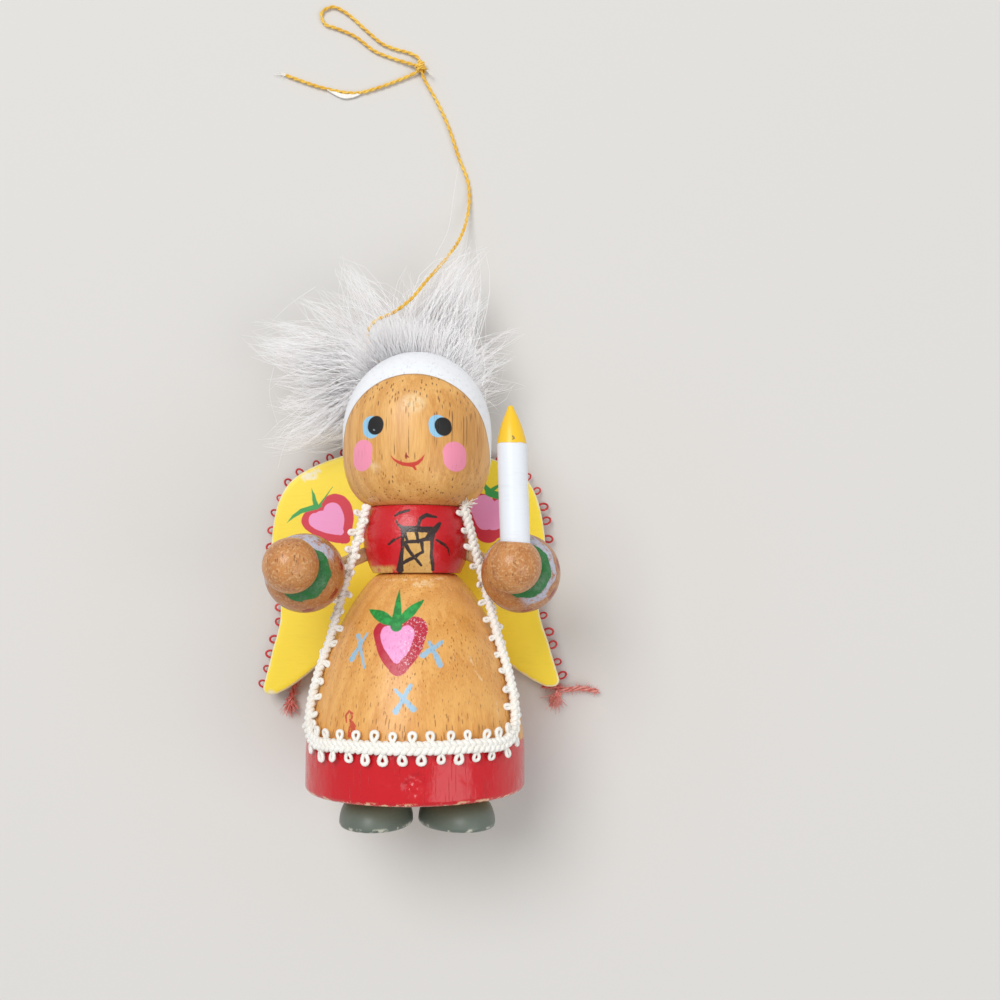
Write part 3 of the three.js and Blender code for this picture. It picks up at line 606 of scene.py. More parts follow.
# The vest: its front opening, the lacing over it and the bow on top
VEST_OPENING = [((0.4, 28.2), (0.3, 24), 1.45, 1.8)]
VEST_LACING = [
    *brushed([(-1.1, 29.3), (-1.2, 27), (-1.45, 25.6), (-1.5, 24.9)], [0.18, 0.2, 0.3, 0.4]),
    *brushed([(2.2, 29.2), (2.05, 27), (2.15, 24.9)], [0.28, 0.17, 0.2]),
    ((-1, 29.4), (2.1, 29.35), 0.36, 0.34), ((-1.1, 29.2), (-0.6, 28.1), 0.3, 0.14),
    ((2.2, 29.2), (1.5, 28.4), 0.36, 0.2),
    *brushed([(-0.75, 27.95), (0.2, 28), (1.2, 28.25), (2.1, 28.35)], [0.18, 0.2, 0.22, 0.28]),
    ((0.4, 29.0), (0.6, 28), 0.2, 0.18), ((0.95, 28.0), (1.1, 26.8), 0.2, 0.14),
    *brushed([(-0.85, 27.8), (-0.3, 26.8), (0.9, 25.35)], [0.26, 0.2, 0.12]),
    *brushed([(1.1, 26.9), (0.2, 26.3), (-1.15, 25.65)], [0.16, 0.2, 0.22]),
    *brushed([(0.5, 29.7), (0.85, 30.6), (1.5, 31.0), (2.5, 30.75)], [0.2, 0.24, 0.26, 0.14]),
    *brushed([(2.95, 30.1), (2.6, 29.6), (2.2, 29.1)], [0.16, 0.3, 0.3]),
    *brushed([(-2.1, 30.9), (-1.4, 31.3), (-0.5, 31.5)], [0.1, 0.17, 0.15]),
    *brushed([(-1.95, 30.4), (-1.7, 29.9), (-1.2, 29.6)], [0.06, 0.14, 0.24]),
    ((-2.75, 27.75), (-2.1, 28.2), 0.12, 0.18), ((-1.8, 28.3), (-1.3, 28.55), 0.1, 0.08),
    *brushed([(2.65, 28.2), (3.5, 27.6), (3.85, 27.2), (4, 26.5)], [0.12, 0.18, 0.1, 0.06]),
]


def vest_finish():
    finish = Finish("vest_paint", 0.36, 0.2, 0.16)
    finish.wood(tone(226, 182, 104), tone(204, 152, 80), HONEY_PORE, 0.5, 1.2)
    opening_wood = finish.colour
    finish.film(VEST_RED, tone(226, 84, 88), 0.55)
    place = finish.group(hand_wobble, Place=finish.place, Amount=0.24, Scale=1.3)["Place"]
    x, up, front = finish.parts(place)
    ahead = finish.ramp(front, 0.0, 0.5)
    opening = finish.math("MULTIPLY", finish.strokes(VEST_OPENING, place), ahead)
    finish.over(opening, opening_wood, -0.05)
    low = finish.math(
        "MULTIPLY", finish.ramp(up, TORSO_BOTTOM + 0.75, TORSO_BOTTOM + 0.25), finish.ramp(x, -1.6, -2.6),
    )
    finish.over(finish.patchy(low, 0.7, 0.36, 0.5), opening_wood, -0.04)
    lacing = finish.math(
        "MULTIPLY", finish.patchy(finish.strokes(VEST_LACING, place, 0.05), 2.6, 0.22, 0.36), ahead,
    )
    finish.over(lacing, finish.mix(finish.noise(finish.place, 2.0, 2.0), LACING_BLACK, tone(66, 42, 34)))
    uneven = finish.noise(finish.place, 1.1, 3.0, 0.6)
    finish.height = finish.math("MULTIPLY_ADD", uneven, 0.12, finish.height)
    return finish.done()


FACE_EYE_WHITES = [((-4.65, 40.95), (-4.6, 40.4), 0.98, 0.98), ((2.8, 40.95), (2.85, 40.4), 0.98, 0.98)]
FACE_PUPILS = [((-4.06, 40.95), (-4.1, 40.72), 0.92, 0.92), ((3.38, 40.75), (3.46, 40.52), 0.92, 0.9)]
# A painted highlight on the left pupil, in grey.
FACE_PAINTED_HIGHLIGHT = [((-4.3, 40.35), (-4.2, 40.3), 0.07, 0.05)]
FACE_CHEEKS = [((-5.6, 38.2), (-5.7, 37), 1.14, 1.12), ((4.65, 37.75), (4.7, 37), 1.28, 1.24)]
FACE_MOUTH = [
    *brushed(
        [
            (-2.3, 37.35), (-1.95, 36.95), (-1.5, 36.65), (-1, 36.45), (-0.4, 36.38), (0.1, 36.36),
            (0.6, 36.55), (1.1, 36.95),
        ],
        [0.04, 0.1, 0.16, 0.2, 0.2, 0.26, 0.2, 0.14],
    ),
    ((1.1, 36.95), (1.38, 37.45), 0.14, 0.03), ((0.15, 36.3), (0.42, 35.85), 0.2, 0.1),
    ((0.3, 36.5), (0.9, 36.6), 0.1, 0.05),
]
FACE_NOSE = [
    ((-0.6, 37.65), (-0.62, 37.3), 0.05, 0.14), ((-0.55, 37.3), (-0.3, 37.15), 0.13, 0.04),
    ((-0.7, 37.2), (-0.6, 37.1), 0.05, 0.1),
]
# Pale rubbed spots: worn wood on the forehead that also stands for a painted highlight there, and a smaller
# pale speck lower on the left.
FACE_WEAR_AND_HIGHLIGHT = [((-0.3, 43.2), (0.4, 43.3), 0.9, 1.0), ((-4.4, 36.4), (-4.1, 36.2), 0.3, 0.4)]
HOOD_EDGE = -0.308
HOOD_TILT = (0, 0.53, -0.848)


def head_finish():
    finish = Finish("face_wood_and_paint", 0.45, 0.2, 0.25)
    finish.wood(tone(238, 184, 108), tone(208, 144, 70), tone(118, 66, 26), 0.95, 9, 3.4)
    place = finish.group(hand_wobble, Place=finish.place, Amount=0.1, Scale=0.9)["Place"]
    ahead = finish.ramp(finish.parts(finish.place)[2], 0.0, 0.5)
    # Pale worn spots, the forehead one also a painted highlight
    wear_and_highlight = finish.patchy(finish.strokes(FACE_WEAR_AND_HIGHLIGHT, place, 0.6), 1.6, 0.3, 0.6)
    finish.over(finish.math("MULTIPLY", wear_and_highlight, 0.6), tone(248, 224, 176))
    for marks, colour, thick in (
        (FACE_EYE_WHITES, tone(150, 204, 236), 0.0), (FACE_CHEEKS, tone(250, 152, 182), 0.0),
        (FACE_PUPILS, tone(6, 5, 6), 0.06), (FACE_PAINTED_HIGHLIGHT, tone(150, 160, 170), 0.0),
        (FACE_MOUTH, tone(205, 60, 42), 0.0), (FACE_NOSE, tone(150, 40, 24), 0.0),
    ):
        finish.over(finish.math("MULTIPLY", finish.strokes(marks, place), ahead), colour, thick)
    centred = finish.vector("SUBTRACT", place, (0, HEAD_CENTRE, 0))
    reach = finish.math("DIVIDE", finish.measure("DOT_PRODUCT", centred, HOOD_TILT), HEAD_RADIUS)
    cloth = finish.group(
        brushed_paint, Place=finish.place, Colour=HOOD_WHITE, Worn=tone(196, 192, 196), Grime=0.2,
    )
    rim = finish.math("MULTIPLY", finish.ramp(reach, HOOD_EDGE - 0.035, HOOD_EDGE), 0.55)
    finish.over(rim, tone(120, 92, 66))
    finish.over(finish.ramp(reach, HOOD_EDGE - 0.008, HOOD_EDGE + 0.008), cloth["Colour"], 0.09)
    return finish.done()


BAND_TURN = {-1: -0.96, 1: -1.38}
SILVER_SIDE = {-1: (-0.35, 0.94, -0.3), 1: (0.75, 0.66, -2.4)}  # direction across and up, and where it ends


def arm_finish(side):
    """Brown varnished wood with hand-painted bands round the cuff, laid out along the turned profile."""
    name = "left_arm_wood_and_bands" if side < 0 else "right_arm_wood_and_bands"
    finish = Finish(name, 0.38, 0.35, 0.16)
    finish.wood(tone(210, 142, 76), tone(176, 106, 52), tone(122, 66, 28), 0.5, 0.8)
    # Pale mottle over the wood, partly standing for painted highlights on its bumpy surface.
    pale_mottle_and_highlights = finish.ramp(finish.noise(finish.place, 3.4, 3.0, 0.6), 0.45, 0.66)
    finish.over(finish.math("MULTIPLY", pale_mottle_and_highlights, 0.6), tone(240, 190, 132), 0.07)
    around, along, _ = finish.parts(finish.add("ShaderNodeUVMap", uv_map="turning").outputs[0])
    angle = finish.math("MULTIPLY", around, 2 * math.pi)
    back = finish.math("MULTIPLY", along, 10.0)
    shake = finish.noise(finish.place, 0.9, 2.0)
    back = finish.math("MULTIPLY_ADD", finish.math("SUBTRACT", shake, 0.5), 0.7, back)
    waves = finish.math("SINE", finish.math("MULTIPLY_ADD", angle, 9.0, 1.0))
    lean = finish.math("COSINE", finish.math("ADD", angle, BAND_TURN[side]))
    green_edge = finish.math("MULTIPLY_ADD", lean, 1.1, finish.math("MULTIPLY_ADD", waves, 0.05, 0.85))
    silver_edge = finish.math("MULTIPLY_ADD", waves, 0.2, 2.75)
    on_sleeve = finish.ramp(back, 0.02, 0.1)
    # The sleeve darker than the hand: partly its wood, partly painted shade from the hand.
    finish.over(finish.math("MULTIPLY", on_sleeve, 0.3), tone(150, 82, 42))
    silver = finish.math(
        "MULTIPLY", finish.ramp(finish.math("SUBTRACT", silver_edge, back), -0.08, 0.08), on_sleeve,
    )
    aside, up, end = SILVER_SIDE[side]
    silver_side = finish.measure("DOT_PRODUCT", finish.place, (aside, up, 0))
    end += aside * side * ARM_REACH + up * ARM_LEVEL
    silver = finish.math("MULTIPLY", silver, finish.ramp(silver_side, end, end + 1.2))
    silver = finish.patchy(finish.patchy(silver, 0.5, 0.36, 0.48), 1.7, 0.32, 0.5)
    finish.over(finish.math("MULTIPLY", silver, 0.85), tone(196, 204, 226), 0.03)
    green = finish.math(
        "MULTIPLY", finish.ramp(finish.math("SUBTRACT", green_edge, back), -0.06, 0.06), on_sleeve,
    )
    leaf = finish.mix(
        finish.ramp(finish.noise(finish.place, 1.2, 3.0, 0.7), 0.4, 0.7), tone(22, 122, 48),
        tone(74, 128, 84),
    )
    finish.over(green, leaf, 0.04)
    beat = finish.ramp(finish.math("SINE", finish.math("MULTIPLY", angle, 8.0)), 0.15, 0.5)
    row = finish.math("SUBTRACT", 0.5, finish.math("ABSOLUTE", finish.math("SUBTRACT", back, 3.9)))
    dashes = finish.patchy(finish.math("MULTIPLY", beat, finish.ramp(row, -0.06, 0.08)), 1.4, 0.34, 0.5)
    finish.over(dashes, tone(150, 34, 28), 0.03)
    return finish.done()


FLAME_PIT = [((11.05, 38.9), (11.2, 38.7), 0.08, 0.1), ((11.2, 38.7), (11.05, 38.55), 0.1, 0.05)]


def candle_finish(flame_foot):
    finish = Finish("candle_paint", 0.42, 0.25, 0.25)
    finish.film(tone(236, 240, 246), tone(206, 204, 214), 0.3)
    flame = finish.group(
        brushed_paint, Place=finish.place, Colour=tone(250, 200, 30), Worn=tone(236, 160, 20), Grime=0.4,
    )
    place = finish.group(hand_wobble, Place=finish.place, Amount=0.25, Scale=1.2)["Place"]
    up = finish.parts(place)[1]
    finish.over(finish.ramp(up, flame_foot - 0.06, flame_foot + 0.06), flame["Colour"], 0.04)
    pit = finish.strokes(FLAME_PIT, finish.place, 0.05)
    finish.over(finish.math("MULTIPLY", pit, 0.8), tone(120, 104, 84), -0.06)
    return finish.done()


def shoe_finish():
    finish = Finish("worn_shoe_paint", 0.5, 0.15, 0.3)
    finish.film(tone(98, 108, 98), tone(134, 138, 126), 0.5)
    height = finish.math("ADD", finish.parts(finish.place)[1], GLUE_GAP + FOOT_HEIGHT)
    edge = finish.math("MULTIPLY", finish.ramp(height, 0.02, 0.06), finish.ramp(height, 0.6, 0.3))
    finish.over(finish.patchy(edge, 0.9, 0.5, 0.62), tone(196, 196, 180), -0.03)
    return finish.done()


LEFT_BERRY = [
    ((-13.7, 31.2), (-9.9, 28.8), 1.35, 0.5, 0.35), ((-10.85, 32.45), (-9.55, 28.9), 2.1, 0.6, 0.4),
    ((-13.0, 31.6), (-11.4, 32.0), 1.4, 1.5),
]
LEFT_PINK = [
    ((-13.2, 31.2), (-10.2, 29.8), 0.95, 0.42, 0.2), ((-11.2, 32.3), (-10.25, 30.0), 1.15, 0.42, 0.3),
    ((-12.6, 31.5), (-11.4, 31.6), 0.9, 0.95),
]
LEFT_LEAVES = [
    *brushed(
        [(-12.6, 33), (-13.6, 32.85), (-15.1, 32.4), (-16.1, 31.7), (-16.85, 30.9)],
        [0.1, 0.34, 0.3, 0.18, 0.01],
    ),
    ((-13.2, 32.9), (-13.9, 35.4), 0.34, -0.04, 0.06), ((-12.9, 33), (-11.2, 35.4), 0.14, 0.03),
]
RIGHT_BERRY = [((7.2, 32.6), (8.2, 30), 2, 1.6, 0.2), ((10.2, 32.6), (9, 30.2), 2, 1.3, 0.2)]
RIGHT_PINK = [((7.6, 32.8), (7.9, 31.4), 1.6, 1.35), ((9.9, 32.5), (8.9, 31.2), 1.4, 1.2)]
RIGHT_LEAVES = [
    ((7.5, 36.1), (8.4, 34.7), 0.06, 0.5), ((8.3, 34.7), (10.2, 34.1), 0.45, 0.5),
    ((8.5, 34.9), (10, 35.9), 0.3, 0.1),
]
WING_RUBS = [
    ((-14.7, 36.6), (-13, 37.4), 0.42, 0.26), ((-14.1, 36.6), (-13.4, 36.7), 0.3, 0.3),
    ((-18.6, 10), (-17.9, 9.7), 0.3, 0.2),
]


def wing_finish():
    finish = Finish("wing_paint", 0.46, 0.12, 0.3)
    finish.film(tone(255, 227, 52), tone(255, 236, 130), 0.3)
    place = finish.group(hand_wobble, Place=finish.place, Amount=0.2, Scale=0.8)["Place"]
    ahead = finish.ramp(finish.parts(finish.place)[2], WING_FRONT - 0.5, WING_FRONT - 0.3)
    for marks, colour in (
        (LEFT_BERRY + RIGHT_BERRY, tone(214, 42, 66)), (LEFT_PINK + RIGHT_PINK, BERRY_PINK),
        (LEFT_LEAVES + RIGHT_LEAVES, tone(52, 162, 76)),
    ):
        finish.over(finish.math("MULTIPLY", finish.strokes(marks, place), ahead), colour)
    ragged_place = finish.group(hand_wobble, Place=place, Amount=0.5, Scale=2.6)["Place"]
    rubbed = finish.patchy(finish.strokes(WING_RUBS, ragged_place, 0.25), 2.0, 0.3, 0.5)
    edge = finish.add("ShaderNodeAttribute", attribute_name="edge").outputs["Fac"]
    ragged = finish.math(
        "MULTIPLY_ADD", finish.noise(finish.place, 1.1, 3.0, 0.6), 0.9,
        finish.math("SUBTRACT", edge, 0.55),
    )
    worn = finish.math("MULTIPLY", finish.ramp(ragged, 0.5, 0.75), 0.75)
    finish.over(finish.math("MAXIMUM", worn, rubbed), tone(246, 238, 206), -0.02)
    return finish.done()


def thread_finish(name, colour, shade, scale, sheen):
    finish = Finish(name, 0.75, sheen=sheen)
    made = finish.group(thread_fibres, Place=finish.place, Colour=colour, Shade=shade, Scale=scale)
    finish.colour, finish.height = made["Colour"], made["Height"]
    return finish.done()


def fur_finish():
    finish = Finish("white_fur", 0.6)
    tones = dict(Colour=tone(255, 255, 255), Shade=tone(253, 250, 250))
    finish.colour = finish.group(thread_fibres, Place=finish.place, Scale=0.6, **tones)["Colour"]
    return finish.done()


def dowel_finish():
    finish = Finish("bare_dowel", 0.7)
    finish.wood(tone(222, 192, 146), tone(196, 160, 112), tone(150, 112, 72), 0.5, 1.5)
    return finish.done()


skirt_paint = skirt_finish()
vest_paint = vest_finish()
head_paint = head_finish()
shoe_paint = shoe_finish()
wing_paint = wing_finish()
dowel_wood = dowel_finish()
white_thread = thread_finish("white_cotton", tone(255, 254, 249), tone(246, 242, 233), 5.0, 0.3)
red_thread = thread_finish("red_cotton", tone(228, 84, 80), tone(190, 44, 48), 5.0, 0.25)
pale_red_thread = thread_finish("frayed_red_cotton", tone(246, 180, 166), tone(226, 104, 96), 2.0, 0.25)
gold_thread = thread_finish("gold_thread", tone(255, 216, 98), tone(234, 180, 58), 4.0, 0.2)
fur_white = fur_finish()
hide_skin = thread_finish("bare_hide", tone(250, 247, 244), tone(238, 232, 226), 2.0, 0.1)


# Meshes


def as_piece(mesh, name, material=None):
    piece = bpy.data.objects.new(name, mesh)
    bpy.context.scene.collection.objects.link(piece)
    if material is not None:
        mesh.materials.clear()
        mesh.materials.append(material)
    return piece


def settle(piece, node_names):
    """The piece rides on the one body and stands for its CAD nodes."""
    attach(piece, "root")
    if node_names:
        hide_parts(*node_names)
    return piece


def smooth(mesh, angle=35):
    mesh.shade_smooth()
    mesh.set_sharp_from_angle(angle=math.radians(angle))


def turned(name, profile, material, place=Matrix.Identity(4), sides=120, closed=False, uv=None):
    """A solid turned about its own upright axis from a profile of (radius, height)."""
    points, faces, rings = [], [], []
    for radius, height in profile:
        if radius < 1e-6:
            rings.append([len(points)] * sides)
            points.append((0, height, 0))
            continue
        rings.append(list(range(len(points), len(points) + sides)))
        for i in range(sides):
            angle = 2 * math.pi * i / sides
            points.append((radius * math.sin(angle), height, radius * math.cos(angle)))
    pairs = list(zip(rings, rings[1:])) + ([(rings[-1], rings[0])] if closed else [])
    shares = []
    for k, (low, high) in enumerate(pairs):
        for i in range(sides):
            j = (i + 1) % sides
            corners = [(low[i], i, k), (low[j], i + 1, k), (high[j], i + 1, k + 1), (high[i], i, k + 1)]
            kept = [c for n, c in enumerate(corners) if c[0] != corners[n - 1][0]]
            faces.append([c[0] for c in kept])
            shares.append([(c[1] / sides, c[2]) for c in kept])
    mesh = bpy.data.meshes.new(name)
    mesh.from_pydata([to_row(place @ Vector(p)) for p in points], [], faces)
    if uv is not None:
        layer = mesh.uv_layers.new(name="turning")
        flat = [(a, uv[k % len(uv)]) for face in shares for a, k in face]
        layer.data.foreach_set("uv", np.array(flat, np.float32).ravel())
    work = bmesh.new()
    work.from_mesh(mesh)
    bmesh.ops.recalc_face_normals(work, faces=work.faces)
    work.to_mesh(mesh)
    work.free()
    smooth(mesh)
    return as_piece(mesh, name, material)


def drill(piece, holes):
    """Bores round holes, each given by its two ends and its radius in figure millimetres."""
    for start, end, radius in holes:
        start, end = Vector(start), Vector(end)
        along = end - start
        work = bmesh.new()
        bmesh.ops.create_cone(
            work, cap_ends=True, segments=48, radius1=radius, radius2=radius, depth=along.length,
        )
        turn = along.to_track_quat("Z", "Y").to_matrix().to_4x4()
        bmesh.ops.transform(work, verts=work.verts, matrix=Matrix.Translation((start + end) / 2) @ turn)
        bmesh.ops.transform(work, verts=work.verts, matrix=Matrix.Translation(AXIS) @ Matrix.Scale(MM, 4))
        cutter_mesh = bpy.data.meshes.new("cutter")
        work.to_mesh(cutter_mesh)
        work.free()
        cutter = as_piece(cutter_mesh, "cutter")
        bore = piece.modifiers.new("bore", "BOOLEAN")
        bore.operation, bore.solver, bore.object = "DIFFERENCE", "EXACT", cutter
        bake_modifiers(piece)
        bpy.data.objects.remove(cutter)
    smooth(piece.data)


def bake_modifiers(piece):
    """Turns the piece with its modifiers into a plain mesh."""
    bpy.context.view_layer.update()
    depsgraph = bpy.context.evaluated_depsgraph_get()
    evaluated = piece.evaluated_get(depsgraph)
    mesh = bpy.data.meshes.new_from_object(evaluated, preserve_all_data_layers=True, depsgraph=depsgraph)
    piece.modifiers.clear()
    piece.data = mesh


# Geometry trees


def make_threads_tree():
    """Round threads along the edges of a wire mesh, as thick as each point's own radius."""
    inputs = [
        ("Geometry", "Geometry", None), ("Sides", "Int", 6), ("Smooth", "Bool", True),
        ("Material", "Material", None),
    ]
    wires, given, outputs = new_group(
        "Threads along lines", "GeometryNodeTree", inputs, [("Geometry", "Geometry")],
    )
    lines = wires.add("GeometryNodeMeshToCurve", given["Geometry"]).outputs[0]
    radius = wires.add("GeometryNodeInputNamedAttribute", "radius", data_type="FLOAT").outputs["Attribute"]
    sized = wires.add("GeometryNodeSetCurveRadius")
    wires.named(sized, Curve=lines, Radius=radius)
    section = wires.add("GeometryNodeCurvePrimitiveCircle", mode="RADIUS")
    wires.named(section, Resolution=given["Sides"], Radius=1.0)
    tube = wires.add("GeometryNodeCurveToMesh")
    wires.named(
        tube, Curve=sized.outputs[0], Profile_Curve=section.outputs[0], Scale=radius, Fill_Caps=True,
    )
    rounded = wires.add("GeometryNodeSetShadeSmooth")
    wires.named(rounded, Geometry=tube.outputs[0], Shade_Smooth=given["Smooth"])
    whole = wires.add("GeometryNodeRealizeInstances", rounded.outputs[0]).outputs[0]
    dressed = wires.add("GeometryNodeSetMaterial")
    wires.named(dressed, Geometry=whole, Material=given["Material"])
    wires.feed(outputs["Geometry"], dressed.outputs[0])
    return wires.tree


def make_picot_tree():
    """One loop of thread on every point, standing out along 'across' with its face along 'outward'."""
    inputs = [
        ("Geometry", "Geometry", None), ("Loop", "Object", None), ("Size", "Float", 1.0),
        ("Size change", "Float", 0.1),
        ("Tilt", "Float", 0.2), ("Seed", "Int", 1), ("Material", "Material", None),
    ]
    wires, given, outputs = new_group("Picot loops", "GeometryNodeTree", inputs, [("Geometry", "Geometry")])
    across = wires.add(
        "GeometryNodeInputNamedAttribute", "across", data_type="FLOAT_VECTOR",
    ).outputs["Attribute"]
    outward = wires.add(
        "GeometryNodeInputNamedAttribute", "outward", data_type="FLOAT_VECTOR",
    ).outputs["Attribute"]
    facing = wires.add("FunctionNodeAxesToRotation", outward, across, primary_axis="Z", secondary_axis="X")
    swing = wires.add("FunctionNodeRandomValue", data_type="FLOAT_VECTOR")
    most = wires.add("ShaderNodeCombineXYZ", given["Tilt"], given["Tilt"], given["Tilt"]).outputs[0]
    wires.feed(swing.inputs[0], wires.vector("MULTIPLY", most, (-1, -1, -1)))
    wires.feed(swing.inputs[1], most)
    wires.named(swing, Seed=given["Seed"])
    shaken = wires.add("FunctionNodeRotateRotation", facing.outputs[0], rotation_space="LOCAL")
    wires.feed(shaken.inputs[1], wires.add("FunctionNodeEulerToRotation", swing.outputs[0]).outputs[0])
    growth = wires.add("FunctionNodeRandomValue", data_type="FLOAT")
    wires.feed(growth.inputs[2], wires.math("SUBTRACT", given["Size"], given["Size change"]))
    wires.feed(growth.inputs[3], wires.math("ADD", given["Size"], given["Size change"]))
    wires.named(growth, Seed=wires.math("ADD", given["Seed"], 1))
    loop = wires.add("GeometryNodeObjectInfo")
    wires.named(loop, Object=given["Loop"])
    placed = wires.add("GeometryNodeInstanceOnPoints")
    wires.named(
        placed, Points=given["Geometry"], Instance=loop.outputs["Geometry"], Rotation=shaken.outputs[0],
    )
    wires.feed(placed.inputs["Scale"], growth.outputs[1])
    whole = wires.add("GeometryNodeRealizeInstances", placed.outputs[0]).outputs[0]
    dressed = wires.add("GeometryNodeSetMaterial")
    wires.named(dressed, Geometry=whole, Material=given["Material"])
    wires.feed(outputs["Geometry"], dressed.outputs[0])
    return wires.tree


threads_tree = make_threads_tree()
picot_tree = make_picot_tree()


def grow(piece, tree, **values):
    """Runs a geometry tree on a piece with its inputs set, and keeps the result as a plain mesh."""
    modifier = piece.modifiers.new(tree.name, "NODES")
    modifier.node_group = tree
    sockets = {s.name: s.identifier for s in tree.interface.items_tree if s.in_out == "INPUT"}
    for key, value in values.items():
        modifier[sockets[key.replace("_", " ")]] = value
    bake_modifiers(piece)
    return piece


def threads(name, lines, material, sides=6, smooth=True):
    """Threads along lines of (x, up, front, radius) in figure millimetres."""
    points = np.concatenate([line[:, :3] for line in lines])
    radii = np.concatenate([line[:, 3] for line in lines]) * MM
    edges, start = [], 0
    for line in lines:
        count = len(line)
        steps = np.arange(start, start + count - 1)
        edges.append(np.stack([steps, steps + 1], axis=1))
        start += count
    mesh = bpy.data.meshes.new(name)
    edges = np.concatenate(edges)
    mesh.vertices.add(len(points))
    mesh.vertices.foreach_set("co", to_row(points).astype(np.float32).ravel())
    mesh.edges.add(len(edges))
    mesh.edges.foreach_set("vertices", edges.astype(np.int32).ravel())
    mesh.attributes.new("radius", "FLOAT", "POINT").data.foreach_set("value", radii.astype(np.float32))
    mesh.update()
    return grow(as_piece(mesh, name), threads_tree, Sides=sides, Smooth=smooth, Material=material)


def joined(name, pieces):
    """One piece made of several."""
    work = bmesh.new()
    for piece in pieces:
        work.from_mesh(piece.data)
    mesh = bpy.data.meshes.new(name)
    work.to_mesh(mesh)
    work.free()
    material = pieces[0].data.materials[0]
    for piece in pieces:
        bpy.data.objects.remove(piece)
    return as_piece(mesh, name, material)


# Curves


def blend(first, second, start, end, t):
    """The mix of two points that is all first at start and all second at end."""
    return (end - t) / (end - start) * first + (t - start) / (end - start) * second


def catmull(points, step):
    """A smooth line through points, sampled every step millimetres or so."""
    points = np.asarray(points, float)
    whole = np.vstack([2 * points[0] - points[1], points, 2 * points[-1] - points[-2]])
    line = []
    for a, b, c, d in zip(whole, whole[1:], whole[2:], whole[3:]):
        knots = np.cumsum([0, *(np.linalg.norm(q - p) ** 0.5 for p, q in ((a, b), (b, c), (c, d)))])
        count = max(2, round(np.linalg.norm(c - b) / step))
        t = np.linspace(knots[1], knots[2], count, endpoint=False)[:, None]
        first = blend(a, b, knots[0], knots[1], t)
        second = blend(b, c, knots[1], knots[2], t)
        third = blend(c, d, knots[2], knots[3], t)
        low = blend(first, second, knots[0], knots[2], t)
        high = blend(second, third, knots[1], knots[3], t)
        line.append(blend(low, high, knots[1], knots[2], t))
    return even(np.vstack([*line, points[-1:]]), step)


def even(line, step):
    """The same line with its points evenly spaced."""
    along = np.concatenate([[0], np.cumsum(np.linalg.norm(np.diff(line, axis=0), axis=1))])
    at = np.linspace(0, along[-1], max(2, round(along[-1] / step) + 1))
    return np.stack([np.interp(at, along, line[:, k]) for k in range(line.shape[1])], axis=1)


def unit(vectors):
    return vectors / np.maximum(np.linalg.norm(vectors, axis=-1, keepdims=True), 1e-9)


def frames(line, up):
    """Along, across and outward directions for each point of a line, with outward near up."""
    along = unit(np.gradient(line, axis=0))
    across = unit(np.cross(along, up))
    return along, across, unit(np.cross(across, along))


def plies(line, up, count, offset, radius, twist):
    """Threads laid round a line like the plies of a cord, one full turn every twist millimetres."""
    _, across, outward = frames(line, up)
    along = np.concatenate([[0], np.cumsum(np.linalg.norm(np.diff(line, axis=0), axis=1))])
    made = []
    for k in range(count):
        angle = 2 * np.pi * (along / twist + k / count)
        side = np.cos(angle)[:, None] * across + np.sin(angle)[:, None] * outward
        made.append(np.column_stack([line + offset * side, np.full(len(line), radius)]))
    return made


# Cord, knot and loose end

UPWARD = np.array([0.0, 0.0, 1.0])
PLY_OFFSET = 0.11
PLY_RADIUS = 0.125
PLY_TWIST = 1.9


def above_floor(route):
    return [(x, up, FLOOR + height) for x, up, height in route]


def tapered(line, start, end):
    """A line with a radius that runs from start to end."""
    return np.column_stack([line, np.linspace(start, end, len(line))])


def fray(start, direction, count, length, spread, radius):
    """A tuft of loose fibres that fan out from one point."""
    made = []
    for _ in range(count):
        aim = unit(np.asarray(direction, float) + rng.normal(0, spread, 3))
        reach = length * rng.uniform(0.45, 1)
        bend = rng.normal(0, 0.22 * reach, 3)
        steps = np.linspace(0, 1, 6)[:, None]
        line = np.asarray(start, float) + aim * reach * steps + bend * steps**2
        line[:, 2] = np.maximum(line[:, 2], FLOOR + 0.06)
        made.append(tapered(line, radius, radius * 0.4))
    return made


def crimped(start, direction, count, length, radius):
    """Loose ends of yarn that keep the waves of the braid that they came from."""
    made = []
    steps = np.linspace(0, 1, 26)[:, None]
    for _ in range(count):
        aim = unit(np.asarray(direction, float) + rng.normal(0, 0.14, 3))
        side = unit(np.cross(aim, UPWARD + rng.normal(0, 0.5, 3)))
        reach = length * rng.uniform(0.55, 1)
        wave = 0.22 * np.sin(2 * np.pi * (steps * reach / 1.1 + rng.random()))
        line = np.asarray(start, float) + rng.normal(0, 0.18, 3) + aim * reach * steps + side * wave
        line[:, 2] = np.maximum(line[:, 2], FLOOR + radius)
        made.append(tapered(line, radius, radius * 0.6))
    return made


